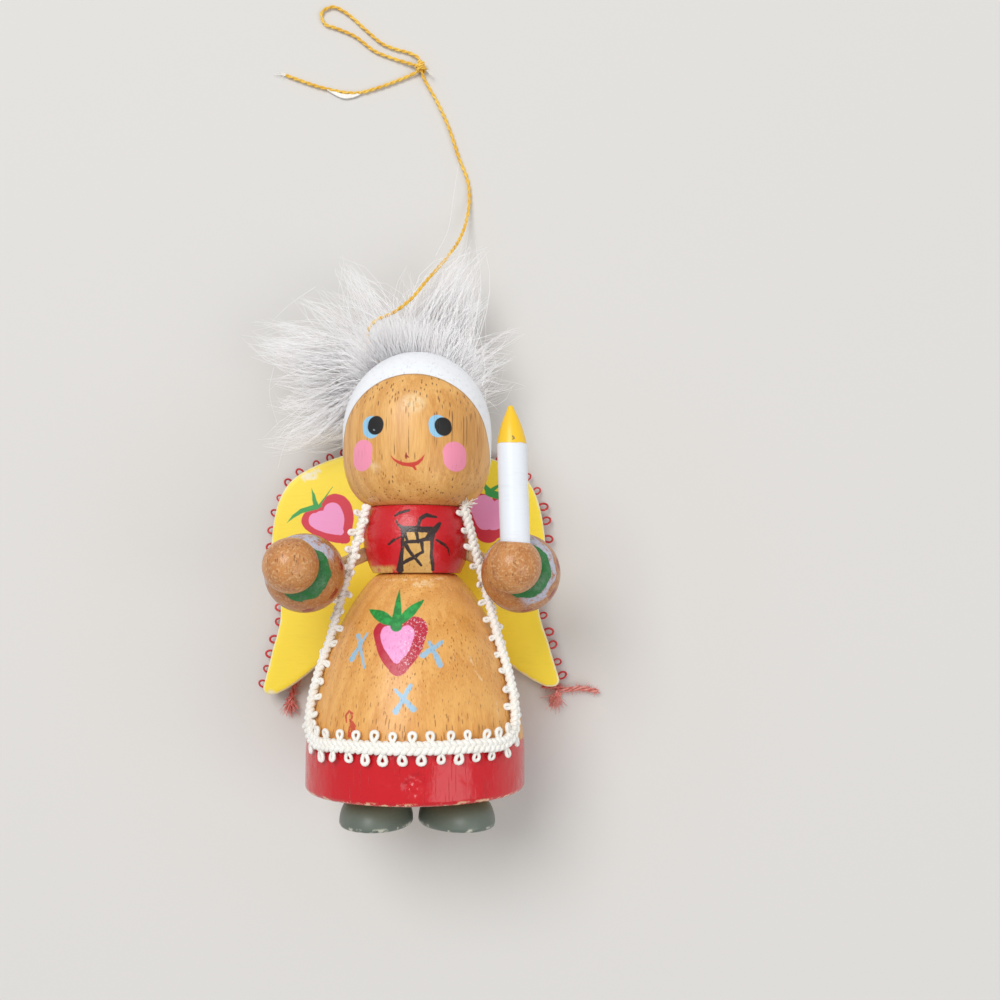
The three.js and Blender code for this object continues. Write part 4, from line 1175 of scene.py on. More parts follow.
def make_cords():
    route = catmull(above_floor([*CORD_ROUTE, KNOT_PLACE, *LOOP_ROUTE, LOOP_INTO_KNOT]), 0.16)
    cord = threads("gold_cord", plies(route, UPWARD, 2, PLY_OFFSET, PLY_RADIUS, PLY_TWIST), gold_thread)
    settle(cord, ["hanger_cord", "hanger_loop"])

    middle = np.array(above_floor([KNOT_PLACE])[0])
    lean = math.radians(KNOT_LEAN)
    axis = np.array([-math.sin(lean), math.cos(lean), 0])
    side = np.array([math.cos(lean), math.sin(lean), 0])
    turns = np.linspace(-1, 1, 90)[:, None]
    angle = turns * 2.6 * np.pi
    wrap = middle + axis * turns * (KNOT_LENGTH / 2 - 0.3)
    wrap = wrap + (side * np.cos(angle) + UPWARD * np.sin(angle)) * (KNOT_RADIUS - PLY_RADIUS - PLY_OFFSET)
    knot = threads("gold_knot", plies(wrap, axis, 2, PLY_OFFSET, PLY_RADIUS, PLY_TWIST), gold_thread)
    settle(knot, ["hanger_knot"])

    line = catmull(above_floor([TAIL_FROM_KNOT, *TAIL_ROUTE]), 0.16)
    tail = threads("gold_tail", plies(line, UPWARD, 2, PLY_OFFSET, PLY_RADIUS, PLY_TWIST), gold_thread)
    settle(tail, ["hanger_tail"])

    bulge = catmull(above_floor(CORE_ROUTE), 0.2)
    straight = np.linspace(bulge[0], bulge[-1], len(bulge))
    swell = np.sin(np.linspace(0.12, math.pi - 0.12, len(bulge))) ** 0.6
    core = []
    for share in (0.6, 0.74, 0.86, 1):
        fibre = straight + (bulge - straight) * share
        core.append(np.column_stack([fibre, 0.12 * swell]))
    core += fray(above_floor([(-18.3, 89.9, 0.4)])[0], (-1, 0.25, 0), 14, 1.5, 0.25, 0.05)
    core += fray(above_floor([(0.1, 90.3, 0.9)])[0], (0.9, -0.5, 0.2), 8, 1.2, 0.35, 0.04)
    white = settle(threads("white_cord_core", core, white_thread), [])


make_cords()


# Turned body


def bell_radius(level):
    t = max(0.0, (level - SKIRT_RIM_HEIGHT) / (SKIRT_HEIGHT - SKIRT_RIM_HEIGHT))
    return SKIRT_TOP_RADIUS + (SKIRT_RADIUS - SKIRT_TOP_RADIUS) * (1 - t**BELL_RISE) ** BELL_SHOULDER


def bell_level(radius):
    share = (radius - SKIRT_TOP_RADIUS) / (SKIRT_RADIUS - SKIRT_TOP_RADIUS)
    rise = (1 - share ** (1 / BELL_SHOULDER)) ** (1 / BELL_RISE)
    return SKIRT_RIM_HEIGHT + rise * (SKIRT_HEIGHT - SKIRT_RIM_HEIGHT)


def foot_holes(side):
    low = (side * FOOT_REACH[side], -GLUE_GAP - FOOT_PEG_IN_FOOT - PEG_GAP, FOOT_FORWARD)
    high = (side * FOOT_REACH[side], FOOT_PEG_IN_SKIRT + PEG_GAP, FOOT_FORWARD)
    return (low, high, FOOT_PEG_RADIUS + PEG_GAP)


def make_skirt():
    profile = [(0, 0)]
    for k in range(9):
        angle = math.pi / 2 * k / 8
        radius = SKIRT_RADIUS - HEM_ROUND * (1 - math.sin(angle))
        profile.append((radius, HEM_ROUND * (1 - math.cos(angle))))
    for k in range(49):
        level = SKIRT_RIM_HEIGHT + math.sin(math.pi / 2 * k / 48) * (SKIRT_HEIGHT - SKIRT_RIM_HEIGHT)
        profile.append((bell_radius(level), level))
    bottom = SPINE_BOTTOM - PEG_GAP
    profile += [(SPINE_HOLE, SKIRT_HEIGHT), (SPINE_HOLE, bottom), (0, bottom)]
    piece = turned("painted_skirt", profile, skirt_paint, sides=160)
    drill(piece, [foot_holes(-1), foot_holes(1)])
    settle(piece, ["skirt"])


def torso_radius(level):
    t = 2 * (level - TORSO_BOTTOM) / (TORSO_TOP - TORSO_BOTTOM) - 1
    return TORSO_RADIUS - (TORSO_RADIUS - TORSO_END_RADIUS) * t * t


def make_torso():
    low = TORSO_BOTTOM - GLUE_FILLED
    high = TORSO_TOP + GLUE_FILLED - JAW_DROP
    profile = [(SPINE_HOLE, high), (SPINE_HOLE, low)]
    for k in range(25):
        level = low + (high - low) * k / 24
        profile.append((torso_radius(level), level))
    piece = turned("painted_vest", profile, vest_paint, closed=True)
    drill(piece, [arm_hole(-1), arm_hole(1)])
    settle(piece, ["torso"])


def make_head():
    """A ball with a full jaw, flat below, and a crown that rises in front of the hide."""
    hole = SPINE_TOP + PEG_GAP
    flat = HEAD_FLAT - JAW_DROP
    depth = HEAD_RADIUS + JAW_DROP
    profile = [(0, hole), (SPINE_HOLE, hole), (SPINE_HOLE, flat)]
    start = math.acos(((HEAD_CENTRE - flat) / depth) ** (JAW_FULLNESS / 2))
    for k in range(36):
        angle = start + (math.pi / 2 - start) * k / 36
        radius = HEAD_RADIUS * math.sin(angle) ** (2 / JAW_FULLNESS)
        drop = depth * math.cos(angle) ** (2 / JAW_FULLNESS)
        profile.append((radius, HEAD_CENTRE - drop))
    for k in range(36):
        angle = math.pi / 2 * k / 36
        rise = (HEAD_RADIUS + CROWN_RISE) * math.sin(angle)
        profile.append((HEAD_RADIUS * math.cos(angle), HEAD_CENTRE + rise))
    profile.append((0, HEAD_CENTRE + HEAD_RADIUS + CROWN_RISE))
    settle(turned("painted_head", profile, head_paint, sides=144), ["head"])


# Arms and candle


def arm_place(side):
    yaw = Matrix.Rotation(math.radians(ARM_YAW[side]), 4, "Y")
    pitch = Matrix.Rotation(-math.radians(ARM_PITCH), 4, "X")
    return Matrix.Translation((side * ARM_REACH, ARM_LEVEL, ARM_FORWARD)) @ (yaw @ pitch)


def along_arm(side, distance):
    return arm_place(side) @ Vector((0, 0, distance))


def arm_hole(side):
    level = TORSO_BOTTOM + SHOULDER_LEVEL
    shoulder = Vector((side * (torso_radius(level) - SHOULDER_DEPTH), level, 0))
    elbow = along_arm(side, -PEG_IN_SLEEVE)
    past = (elbow - shoulder).normalized() * PEG_GAP
    return (shoulder - past, elbow + past, ARM_PEG_RADIUS + PEG_GAP)


def arm_profile():
    profile = []
    for a in np.linspace(0, math.pi / 2, 25):
        profile.append((SLEEVE_RADIUS * math.sin(a), -SLEEVE_BACK * math.cos(a)))
    for a in np.linspace(0, math.pi / 2, 17)[1:]:
        radius = CUFF_RADIUS + (SLEEVE_RADIUS - CUFF_RADIUS) * math.cos(a)
        profile.append((radius, SLEEVE_FRONT * math.sin(a)))
    neck = len(profile) - 1
    start = math.asin(CUFF_RADIUS / HAND_RADIUS)
    for a in np.linspace(start, math.pi, 29)[1:]:
        profile.append((HAND_RADIUS * math.sin(a), HAND_ALONG - HAND_RADIUS * math.cos(a)))
    profile[0] = (0, profile[0][1])
    profile[-1] = (0, profile[-1][1])
    return profile, neck


def make_arm(side, name, node):
    profile, neck = arm_profile()
    steps = np.linalg.norm(np.diff(np.array(profile), axis=0), axis=1)
    reach = np.concatenate([[0], np.cumsum(steps)])
    back = (reach[neck] - reach) / 10
    place = arm_place(side) @ Matrix.Rotation(math.pi / 2, 4, "X")
    piece = turned(name, profile, arm_finish(side), place, sides=96, uv=list(back))
    drill(piece, [arm_hole(side)] + ([candle_hole()] if side > 0 else []))
    settle(piece, [node])


def candle_foot():
    return along_arm(1, HAND_ALONG) + Vector((CANDLE_OFFSET, HAND_RADIUS - CANDLE_SEAT, 0))


def candle_axis():
    lean = math.radians(CANDLE_LEAN)
    return Vector((-math.sin(lean), math.cos(lean), 0))


def candle_hole():
    foot, axis = candle_foot(), candle_axis()
    return (foot - axis * PEG_GAP, foot + axis * 2 * HAND_RADIUS, CANDLE_RADIUS + PEG_GAP)


FLAME_SWELL = 0.16
CANDLE_EDGE = 0.1


def make_candle():
    flame = CANDLE_LENGTH - FLAME_LENGTH
    profile = [(0, 0), (CANDLE_RADIUS - CANDLE_EDGE, 0), (CANDLE_RADIUS, CANDLE_EDGE)]
    profile += [(CANDLE_RADIUS, h) for h in np.linspace(0.6, flame - 0.25, 16)]
    for t in np.linspace(0, 1, 15):
        swell = FLAME_SWELL * math.sin(math.pi * t)
        radius = CANDLE_RADIUS + (FLAME_TIP - CANDLE_RADIUS) * t + swell
        profile.append((radius, flame + (FLAME_LENGTH - FLAME_TIP) * t))
    for a in np.linspace(0, math.pi / 2, 7)[1:]:
        profile.append((FLAME_TIP * math.cos(a), CANDLE_LENGTH - FLAME_TIP + FLAME_TIP * math.sin(a)))
    profile[-1] = (0, CANDLE_LENGTH)
    place = Matrix.Translation(candle_foot()) @ Matrix.Rotation(math.radians(CANDLE_LEAN), 4, "Z")
    material = candle_finish(candle_foot().y + flame)
    settle(turned("painted_candle", profile, material, place, sides=72), ["candle"])


def make_foot(side, name, node):
    profile = [(0, 0)]
    for a in np.linspace(0, math.pi / 2, 6):
        radius = FOOT_HALF_WIDTH - FOOT_EDGE * (1 - math.sin(a))
        profile.append((radius, FOOT_EDGE * (1 - math.cos(a))))
    for t in np.linspace(0, 1, 25)[1:]:
        radius = FOOT_TOP_RADIUS + (FOOT_HALF_WIDTH - FOOT_TOP_RADIUS) * math.sqrt(1 - t * t)
        profile.append((radius, FOOT_EDGE + (FOOT_HEIGHT - FOOT_EDGE) * t))
    profile.append((0, FOOT_HEIGHT))
    longer = Matrix.Diagonal((1, 1, FOOT_HALF_LENGTH / FOOT_HALF_WIDTH, 1))
    place = Matrix.Translation((side * FOOT_REACH[side], -GLUE_GAP - FOOT_HEIGHT, FOOT_FORWARD))
    place = place @ Matrix.Rotation(math.radians(FOOT_TURN[side]), 4, "Y") @ longer
    piece = turned(name, profile, shoe_paint, place)
    drill(piece, [foot_holes(side)])
    settle(piece, [node])


# Wings


def spline(points, count):
    """An even Catmull-Rom curve through flat points, with its ends held."""
    points = np.asarray(points, float)
    held = np.vstack([points[:1], points, points[-1:]])
    line = []
    for a, b, c, d in zip(held, held[1:], held[2:], held[3:]):
        t = np.linspace(0, 1, 40, endpoint=False)[:, None]
        v, w = (c - a) / 2, (d - b) / 2
        line.append((2 * b - 2 * c + v + w) * t**3 + (-3 * b + 3 * c - 2 * v - w) * t**2 + v * t + b)
    line = np.vstack([*line, points[-1:]])
    length = np.linalg.norm(np.diff(line, axis=0), axis=1).sum()
    return even(line, length / count)


def wing_edge(count):
    """The right wing's outer edge from its tip up to the crown, before the plate is shifted and turned."""
    tip = (WING_TIP_REACH, WING_TIP_DROP - WING_TIP_WIDTH / 2)
    thigh = ((WING_TIP_REACH + WING_WAIST[0]) / 2, (WING_TIP_DROP + WING_WAIST[1]) / 2)
    points = [tip, thigh, WING_WAIST, WING_LOBE, WING_SHOULDER, WING_TOP, WING_NOTCH]
    return spline([(x, HEAD_CENTRE - drop) for x, drop in points], count)


def bezier(ends, count):
    """A curve from the first of its points to the last, drawn by the ones between."""
    t = np.linspace(0, 1, count)[:, None]
    order = len(ends) - 1
    shares = [math.comb(order, k) * t**k * (1 - t) ** (order - k) for k in range(order + 1)]
    return sum(share * np.array(end, float) for share, end in zip(shares, ends))


def wing_arch(count):
    """The plate's lower edge, from its middle out to the tip and round it."""
    level = bell_level(-WING_FRONT - GLUE_GAP)
    tip = HEAD_CENTRE - WING_TIP_DROP
    turn = (WING_TIP_REACH - WING_TIP_WIDTH, tip)
    bend = (WING_ARCH_TURN, tip + WING_ARCH_LIFT)
    arch = bezier([(0, level), (WING_ARCH_FLAT, level), bend, turn], count)
    end = (WING_TIP_REACH, tip + WING_TIP_WIDTH / 2)
    return np.vstack([arch, bezier([turn, (WING_TIP_REACH, tip - WING_TIP_SAG), end], 14)[1:-1]])


def wing_turned(points):
    """Flat points of the plate, shifted and turned as it was glued on."""
    angle = -math.radians(WING_TURN)
    x, y = points[:, 0], points[:, 1]
    across = x * math.cos(angle) - y * math.sin(angle) + WING_SHIFT
    up = x * math.sin(angle) + y * math.cos(angle)
    return np.column_stack([across, up])


def inset(outline, distance):
    """A closed outline moved inwards, corners kept."""
    before = unit(outline - np.roll(outline, 1, axis=0))
    after = unit(np.roll(outline, -1, axis=0) - outline)
    corner = unit(before + after)
    normal = np.column_stack([-corner[:, 1], corner[:, 0]])
    stretch = np.maximum((before * corner).sum(axis=1), 0.5)
    return outline + normal * (distance / stretch)[:, None]


def make_wings():
    half = np.vstack([wing_arch(40), wing_edge(150)])
    other = half[1:-1][::-1] * (-1, 1)
    outline = wing_turned(np.vstack([half, other]))
    # How far in from the edge, how far to the front, and how worn
    layers = [
        (0.7, WING_BACK, 0), (0.25, WING_BACK, 0.6),
        (0.06, WING_BACK + 0.08, 1), (0, WING_BACK + 0.25, 1),
        (0, WING_FRONT - 0.25, 1), (0.06, WING_FRONT - 0.08, 1),
        (0.25, WING_FRONT, 0.6), (0.7, WING_FRONT, 0),
    ]
    count = len(outline)
    points, faces, worn = [], [], []
    for distance, front, edge in layers:
        flat = inset(outline, distance)
        points += [(x, up, front) for x, up in flat]
        worn += [edge] * count
    for k in range(len(layers) - 1):
        for i in range(count):
            j = (i + 1) % count
            faces.append((k * count + i, k * count + j, (k + 1) * count + j, (k + 1) * count + i))
    for base, flip in ((0, True), ((len(layers) - 1) * count, False)):
        ring = [Vector(p) for p in points[base:base + count]]
        for triangle in tessellate_polygon([ring]):
            corners = [base + i for i in triangle]
            faces.append(corners[::-1] if flip else corners)
    mesh = bpy.data.meshes.new("painted_wings")
    mesh.from_pydata(to_row(points), [], faces)
    mesh.attributes.new("edge", "FLOAT", "POINT").data.foreach_set("value", np.array(worn, np.float32))
    work = bmesh.new()
    work.from_mesh(mesh)
    bmesh.ops.recalc_face_normals(work, faces=work.faces)
    work.to_mesh(mesh)
    work.free()
    smooth(mesh, 50)
    settle(as_piece(mesh, "painted_wings", wing_paint), ["wings"])


# Picot braid


def loop_shape(name, length, width, thread, neck=1.0, sides=6, steps=14):
    """One loop of thread from the origin out along +X and back, drawn in towards its neck."""
    points, faces = [], []
    for i in range(steps):
        angle = 2 * math.pi * i / steps
        swell = neck + (1 - neck) * math.sin(angle / 2) ** 2
        centre = Vector((length / 2 * (1 - math.cos(angle)), width / 2 * math.sin(angle) * swell, 0))
        out = Vector((-math.cos(angle) * width, math.sin(angle) * length, 0)).normalized()
        for k in range(sides):
            turn = 2 * math.pi * k / sides
            above = Vector((0, 0, thread * math.sin(turn)))
            points.append((centre + out * thread * math.cos(turn) + above) * MM)
            here, there = i * sides, (i + 1) % steps * sides
            after = (k + 1) % sides
            faces.append([here + k, there + k, there + after, here + after])
    mesh = bpy.data.meshes.new(name)
    mesh.from_pydata(points, [], faces)
    work = bmesh.new()
    work.from_mesh(mesh)
    bmesh.ops.recalc_face_normals(work, faces=work.faces)
    work.to_mesh(mesh)
    work.free()
    mesh.shade_smooth()
    return as_piece(mesh, name)


def picots(name, places, across, outward, shape, material, seed, tilt):
    mesh = bpy.data.meshes.new(name)
    mesh.from_pydata(to_row(places), [], [])
    for label, values in (("across", across), ("outward", outward)):
        data = mesh.attributes.new(label, "FLOAT_VECTOR", "POINT").data
        data.foreach_set("vector", np.asarray(values, np.float32).ravel())
    piece = as_piece(mesh, name)
    return grow(
        piece, picot_tree, Loop=shape, Size=1.0, Size_change=0.12, Tilt=tilt, Seed=seed,
        Material=material,
    )


def plait(line, up, half_width, half_depth, radius, period):
    """Three threads plaited along a line."""
    _, across, outward = frames(line, up)
    along = np.concatenate([[0], np.cumsum(np.linalg.norm(np.diff(line, axis=0), axis=1))])
    made = []
    for k in range(3):
        phase = 2 * np.pi * (along / period + k / 3)
        sway = across * (half_width * np.sin(phase))[:, None]
        lift = outward * (half_depth * np.sin(2 * phase))[:, None]
        points = line + sway + lift
        made.append(np.column_stack([points, np.full(len(line), radius)]))
    return made


YARN_ROUTE = [(15, 10.6), (16.4, 10.5), (17.9, 10.1), (19.7, 10.3), (21.9, 9.9)]
TUFTS = {-1: ((-16.5, 9.2), (-0.05, -1)), 1: ((17, 9.8), (-0.4, -1))}
TRIM_BEHIND = 0.95
TRIM_INSET = 0.75
YARN_RADIUS = 0.14
YARN_SAG = 0.25
PLAIT_PERIOD = 2.1


def loose_yarn(route, radius):
    """Plies that run off the end of a braid, with fuzz along them."""
    line = catmull(route, 0.15)
    made = plies(line, UPWARD, 3, radius * 1.5, radius, 3)
    for spot in line:
        made += fray(spot, (0.5, 0, 0), 6, 0.9, 0.6, 0.035)
    return made


def make_trim(side, name, node):
    """Red picot braid behind the wing's edge, its loops standing past it, its end frayed at the tip."""
    edge = wing_edge(400)
    edge = edge[:int(len(edge) * TRIM_END)] * (side, 1)
    flat = wing_turned(edge)
    depth = WING_BACK - TRIM_BEHIND
    line = even(np.column_stack([flat, np.full(len(flat), depth)]), 0.12)
    _, across, _ = frames(line, UPWARD)
    out = across * (1 if side > 0 else -1)
    inner = line - out * TRIM_INSET
    body = plait(inner, UPWARD, 0.48, 0.26, 0.3, PLAIT_PERIOD)
    spots = even(line, TRIM_PITCH)
    _, spot_across, spot_up = frames(spots, UPWARD)
    spot_out = spot_across * (1 if side > 0 else -1)
    shape = loop_shape("red_loop", 1.05, 0.8, 0.13)
    loops = picots(
        name + "_loops", spots - spot_out * 0.02, spot_out, spot_up, shape, red_thread, 11 + side, 0.3,
    )
    bpy.data.objects.remove(shape)
    settle(joined(name, [threads(name + "_core", body, red_thread), loops]), [node])
    root, aim = TUFTS[side]
    tuft_root = np.array((*root, depth))
    tuft = fray(tuft_root, (*aim, 0.1), 240, 1.9, 0.26, 0.06)
    tuft += crimped(tuft_root, (*aim, 0), 6, 1.4, YARN_RADIUS)
    end = inner[-1]
    sag = (end + tuft_root) / 2 + (0, -YARN_SAG, 0)
    tuft += loose_yarn([end, sag, tuft_root], YARN_RADIUS)
    if side > 0:
        route = np.column_stack([YARN_ROUTE, np.full(len(YARN_ROUTE), depth)])
        tuft += loose_yarn(route, YARN_RADIUS)
    settle(threads(name + "_tuft", tuft, pale_red_thread, 4), [])


def on_skirt(angle, level):
    radius = bell_radius(level) + LACE_LIFT
    return (radius * math.sin(math.radians(angle)), level, radius * math.cos(math.radians(angle)))


def lace_route():
    third = (LACE_HIP_LEVEL - LACE_HEM_LEVEL) / 3
    angle = math.radians(LACE_SHOULDER_ANGLE)
    across = LACE_SHOULDER_RADIUS * math.sin(angle)
    ahead = LACE_SHOULDER_RADIUS * math.cos(angle)
    shoulder = np.array([across, TORSO_TOP - GLUE_GAP, ahead])
    hip = np.array(on_skirt(LACE_HIP_ANGLE, LACE_HIP_LEVEL))
    right = [
        shoulder, shoulder + (hip - shoulder) / 3, shoulder + (hip - shoulder) * 2 / 3, hip,
        on_skirt((LACE_SIDE_ANGLE + LACE_HIP_ANGLE) / 2, LACE_HEM_LEVEL + 2 * third),
        on_skirt(LACE_SIDE_ANGLE, LACE_HEM_LEVEL + third),
        on_skirt(LACE_SIDE_ANGLE - LACE_CORNER_TURN / 3, LACE_HEM_LEVEL + third / 3),
        on_skirt(LACE_SIDE_ANGLE - LACE_CORNER_TURN, LACE_HEM_LEVEL),
        on_skirt(LACE_SIDE_ANGLE / 2, LACE_HEM_LEVEL),
    ]
    right = np.array(right)
    left = right[::-1] * (-1, 1, 1)
    return catmull(np.vstack([right, [on_skirt(0, LACE_HEM_LEVEL)], left]), 0.12)


def away_from_axis(points):
    return unit(points * (1, 0, 1) + UPWARD)


def make_lace():
    """White picot braid: loops along the hem, and up the sides and straps knobs that fold to the inside."""
    line = lace_route()
    width = np.interp(line[:, 1], [LACE_HEM_LEVEL + 1, LACE_HEM_LEVEL + 4], [0.48, 0.3])
    body = plait(line, away_from_axis(line), width, 0.2, 0.31, PLAIT_PERIOD)
    spots = even(line, LACE_PITCH / 2)[1:-1]
    along, across, outward = frames(spots, away_from_axis(spots))
    reach = across * np.where(np.arange(len(spots)) % 2 == 0, 1, -1)[:, None]
    hem = spots[:, 1] < LACE_HEM_LEVEL + 1.6
    loop = loop_shape("white_loop", 1.0, 0.95, 0.22, 0.35)
    loops = picots(
        "lace_loops", (spots + reach * 0.64)[hem], reach[hem], outward[hem], loop, white_thread, 5, 0.25,
    )
    side = np.sign(spots[:, :1]) * (1, 0, 0)
    inside = (reach * side).sum(axis=1, keepdims=True) < 0
    left_strap = (spots[:, :1] < 0) & (spots[:, 1:2] > LACE_HIP_LEVEL + 3)
    behind = UPWARD * np.where(left_strap, 0.3, -1)
    fold = unit(np.where(inside, UPWARD * 0.9 - side, side * 0.4 + behind))
    knob = loop_shape("white_knob", 0.95, 0.5, 0.19, 0.5)
    facing = unit(np.cross(fold, along))
    knobs = picots(
        "lace_knobs", (spots + fold * 0.4)[~hem], fold[~hem], facing[~hem], knob, white_thread, 9, 0.4,
    )
    for shape in (loop, knob):
        bpy.data.objects.remove(shape)
    body += fray(line[0], (0.1, 1, 0.2), 40, 0.9, 0.4, 0.08)
    body += fray(line[0], (1, 0.5, 0.1), 40, 1.3, 0.25, 0.08)
    lace = joined("apron_picot_lace", [threads("lace_core", body, white_thread), loops, knobs])
    settle(lace, ["apron_lace"])


# Hair

CROWN = np.array([0, math.cos(math.radians(HIDE_TILT)), -math.sin(math.radians(HIDE_TILT))])
HEAD_MIDDLE = np.array([0, HEAD_CENTRE, 0])
HIDE_INNER = HEAD_RADIUS + GLUE_GAP
HIDE_OUTER = HIDE_INNER + HIDE_THICKNESS

# Locks: tip from the figure's axis, how many strands, how far they spread, and how much they bend
LOCKS = [
    ((5.4, 63.6, -5.5), 150, 1.3, 0.5), ((7.2, 62.6, -5), 190, 1.1, 0.6), ((7.6, 58, -5.5), 200, 1, 0.8),
    ((10.8, 52.4, -5.5), 80, 1.5, 0.3), ((10.8, 47.6, -6), 40, 1.5, -0.3),
    ((3.0, 62.0, -5.5), 150, 1.2, 0.3), ((-0.6, 59.8, -6), 150, 1.3, 0.2),
    ((-5.2, 57.9, -6), 150, 1.4, -0.2), ((-9.4, 62.8, -5.5), 120, 0.6, -0.3),
    ((-13.6, 59.6, -5.5), 130, 2.0, -0.3), ((-17.8, 55.2, -5.5), 150, 1.7, -0.2),
    ((-18.9, 52.5, -5), 240, 0.9, -0.1), ((-17.2, 49, -5.5), 150, 1.7, 0.2),
    ((-17.2, 45.4, -5.5), 170, 1.5, 0.3), ((-16.2, 41.8, -5.5), 170, 1.4, 0.4),
    ((-14.8, 40, -5.5), 110, 1, 0.5),
]
HIDE_CLEARANCE = 0.02  # between the crown and the hide that is thinned over it
FUR_SEED = 12
STRAND_RADIUS = 0.042
STRAND_POINTS = 7


def on_hide(direction):
    return HEAD_MIDDLE + unit(direction) * (HIDE_OUTER - 0.1)


def strand(root, tip, lift, bend, radius):
    """A hair that leaves the hide along lift and curves to its tip."""
    length = np.linalg.norm(tip - root)
    aim = (tip - root) / max(length, 1e-6)
    sideways = np.array([-aim[1], aim[0], 0])
    first = root + lift * 0.35 * length
    second = tip - aim * 0.3 * length + sideways * bend * 0.18 * length
    t = np.linspace(0, 1, STRAND_POINTS)[:, None]
    line = (1 - t) ** 3 * root + 3 * t * (1 - t) ** 2 * first + 3 * t**2 * (1 - t) * second + t**3 * tip
    line[:, 2] = np.maximum(line[:, 2], FLOOR + 0.1)
    return np.column_stack([line, radius * (1 - 0.75 * t[:, 0] ** 2)])


def lock(tip, count, spread, bend):
    """Strands that leave the hide side by side and gather towards one tip."""
    tip = np.array(tip)
    middle = unit(unit(tip - HEAD_MIDDLE) + CROWN)
    made = []
    wisps = [rng.normal(0, 1, 3) * spread * (1, 1, 0.8) for _ in range(max(4, count // 25))]
    for _ in range(count):
        direction = unit(middle + rng.normal(0, 0.26, 3))
        if direction @ CROWN < math.cos(math.radians(HIDE_HALF_ANGLE)):
            direction = unit(direction + 0.45 * CROWN)
        root = on_hide(direction)
        wisp = wisps[rng.integers(len(wisps))]
        end = tip + wisp + rng.normal(0, 0.5, 3)
        reach = 1 - 0.5 * rng.random() ** 1.6
        end = root + (end - root) * reach
        lift = unit(direction * 0.7 + unit(end - root))
        curl = bend + rng.normal(0, 0.9)
        made.append(strand(root, end, lift, curl, STRAND_RADIUS * rng.uniform(0.6, 1.25)))
    return made


def under_fur(count):
    """Short soft hairs all over the hide."""
    made = []
    while len(made) < count:
        direction = unit(CROWN + rng.normal(0, 0.42, 3))
        if direction @ CROWN < math.cos(math.radians(HIDE_HALF_ANGLE)):
            continue
        root = on_hide(direction)
        end = root + unit(direction + rng.normal(0, 0.45, 3)) * rng.uniform(1.8, 4.6)
        made.append(strand(root, end, direction, rng.normal(0, 0.8), STRAND_RADIUS))
    return made


def fringe(count, turn, spread, length, forward):
    """Hairs on the hide's front edge that stand up behind the hood."""
    made = []
    rim = math.radians(HIDE_HALF_ANGLE + 0.6)
    ahead = np.array([0, math.sin(math.radians(HIDE_TILT)), math.cos(math.radians(HIDE_TILT))])
    for _ in range(count):
        around = rng.normal(turn, spread)
        out = math.cos(around) * ahead + math.sin(around) * np.array([1, 0, 0])
        direction = math.cos(rim) * CROWN + math.sin(rim) * out
        root = HEAD_MIDDLE + direction * rng.uniform(HIDE_INNER, HIDE_OUTER)
        lean = unit(direction * (1.2, 1, 0)) + UPWARD * rng.normal(forward * 0.4, 0.14)
        end = root + unit(lean + rng.normal(0, 0.2, 3)) * length * rng.uniform(0.4, 1)
        lift = unit(direction * 0.6 + UPWARD * rng.uniform(0.5, 1.5) * forward)
        made.append(strand(root, end, lift, rng.normal(0, 0.8), STRAND_RADIUS * rng.uniform(0.6, 1)))
    return made


STRAY_HAIRS = [
    [(1.7, 64, -6), (3.1, 68, -8.5), (3.7, 73, -10.5), (4.3, 78, -11.9)],
    [(5.2, 63.4, -6), (5.5, 66, -7.5), (5.7, 68, -8.5)],
    [(-17.5, 52.8, -5), (-19.4, 52.5, -5.2), (-20.9, 53.7, -5.5)],
    [(-15.5, 42.5, -5.5), (-16.8, 39.8, -5.5), (-17.5, 37.4, -6)],
    [(-13, 60, -5.5), (-16.5, 57.5, -5.5), (-18.9, 55, -5.5)],
    [(-18.2, 50, -6), (-18.9, 47, -7), (-17.9, 43, -7.5)],
]


def thin_over_crown(hide):
    """Thins the hide from below, so that it lies on the drawn crown and not in it."""
    for vertex in hide.data.vertices:
        place = (np.array(vertex.co) - to_row(HEAD_MIDDLE)) / MM
        across = math.hypot(place[0], place[2]) / HEAD_RADIUS
        level = math.hypot(across, place[1] / (HEAD_RADIUS + CROWN_RISE))
        distance = np.linalg.norm(place)
        least = distance / level + HIDE_CLEARANCE
        if distance < least:
            vertex.co = to_row(HEAD_MIDDLE + place * least / distance)


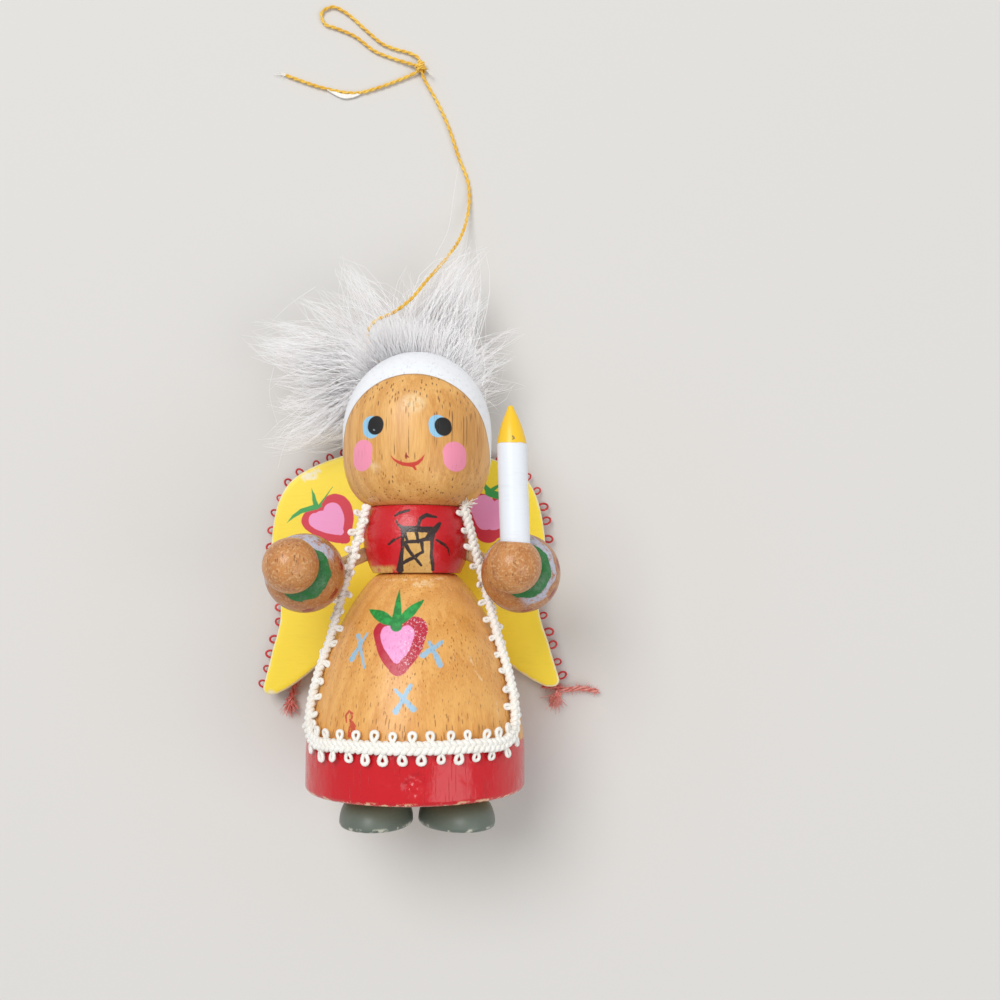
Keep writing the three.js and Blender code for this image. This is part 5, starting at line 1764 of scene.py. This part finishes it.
def make_hair():
    reach = np.linspace(0, math.radians(HIDE_HALF_ANGLE), 16)
    cap = [(math.sin(a) * HIDE_INNER, math.cos(a) * HIDE_INNER) for a in reach]
    cap += [(math.sin(a) * HIDE_OUTER, math.cos(a) * HIDE_OUTER) for a in reach[::-1]]
    place = Matrix.Translation(HEAD_MIDDLE) @ Matrix.Rotation(-math.radians(HIDE_TILT), 4, "X")
    hide = turned("hide_scrap", cap, hide_skin, place, sides=72)
    thin_over_crown(hide)
    settle(hide, ["fur_hide"])
    groups = {
        "fur_right": LOCKS[:6], "fur_middle": LOCKS[6:10], "fur_left": LOCKS[10:13],
        "fur_low_left": LOCKS[13:],
    }
    for name, locks in groups.items():
        strands = [s for values in locks for s in lock(*values)]
        if name == "fur_middle":
            strands += under_fur(600) + fringe(1200, -0.1, 0.75, 5, 0.6)
            strands += fringe(640, -0.62, 0.28, 7.2, 2.3) + fringe(360, -0.56, 0.16, 3.6, 2.6)
        if name == "fur_low_left":
            strands += [tapered(catmull(route, 0.8), 0.03, 0.015) for route in STRAY_HAIRS]
        nodes = ["fur_hair"] if name == "fur_middle" else []
        settle(threads(name, strands, fur_white, 3, False), nodes)


make_skirt()
make_torso()
make_head()
make_arm(-1, "painted_left_arm", "left_arm")
make_arm(1, "painted_right_arm", "right_arm")
make_candle()
make_foot(-1, "left_shoe", "left_foot")
make_foot(1, "right_shoe", "right_foot")
make_wings()
make_trim(-1, "left_picot_trim", "left_wing_trim")
make_trim(1, "right_picot_trim", "right_wing_trim")
make_lace()
rng = np.random.default_rng(FUR_SEED)
make_hair()
for peg in ("spine_dowel", "left_arm_peg", "right_arm_peg", "left_foot_peg", "right_foot_peg"):
    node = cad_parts[peg]
    node.data.materials.clear()
    node.data.materials.append(dowel_wood)


# Floor and light


def make_floor():
    material = bpy.data.materials.new("pale_floor")
    material.use_nodes = True
    wires = Wiring(material.node_tree)
    shader = wires.tree.nodes["Principled BSDF"]
    shader.inputs["Roughness"].default_value = 0.9
    wires.feed(shader.inputs["Base Color"], tone(218, 215, 211))
    mesh = bpy.data.meshes.new("floor")
    reach = 3.0
    corners = [(-reach, -reach, 0), (reach, -reach, 0), (reach, reach, 0), (-reach, reach, 0)]
    mesh.from_pydata(corners, [], [(0, 1, 2, 3)])
    as_piece(mesh, "floor", material)


def make_lamp(name, place, size, power):
    data = bpy.data.lights.new(name, "AREA")
    data.shape, data.size, data.energy = "DISK", size, power
    lamp = bpy.data.objects.new(name, data)
    lamp.location = place
    lamp.rotation_euler = Vector(place).to_track_quat("Z", "Y").to_euler()
    bpy.context.scene.collection.objects.link(lamp)


def make_light():
    make_lamp("key_lamp", (-0.26, 0.34, 0.76), 0.5, 4.2)
    make_lamp("fill_lamp", (0.5, -0.25, 0.6), 0.6, 1.5)
    world = bpy.data.worlds.new("studio")
    world.use_nodes = True
    world.node_tree.nodes["Background"].inputs["Color"].default_value = (0.96, 0.98, 1, 1)
    world.node_tree.nodes["Background"].inputs["Strength"].default_value = 0.5
    bpy.context.scene.world = world
    bpy.context.scene.view_settings.view_transform = "Standard"


make_floor()
make_light()
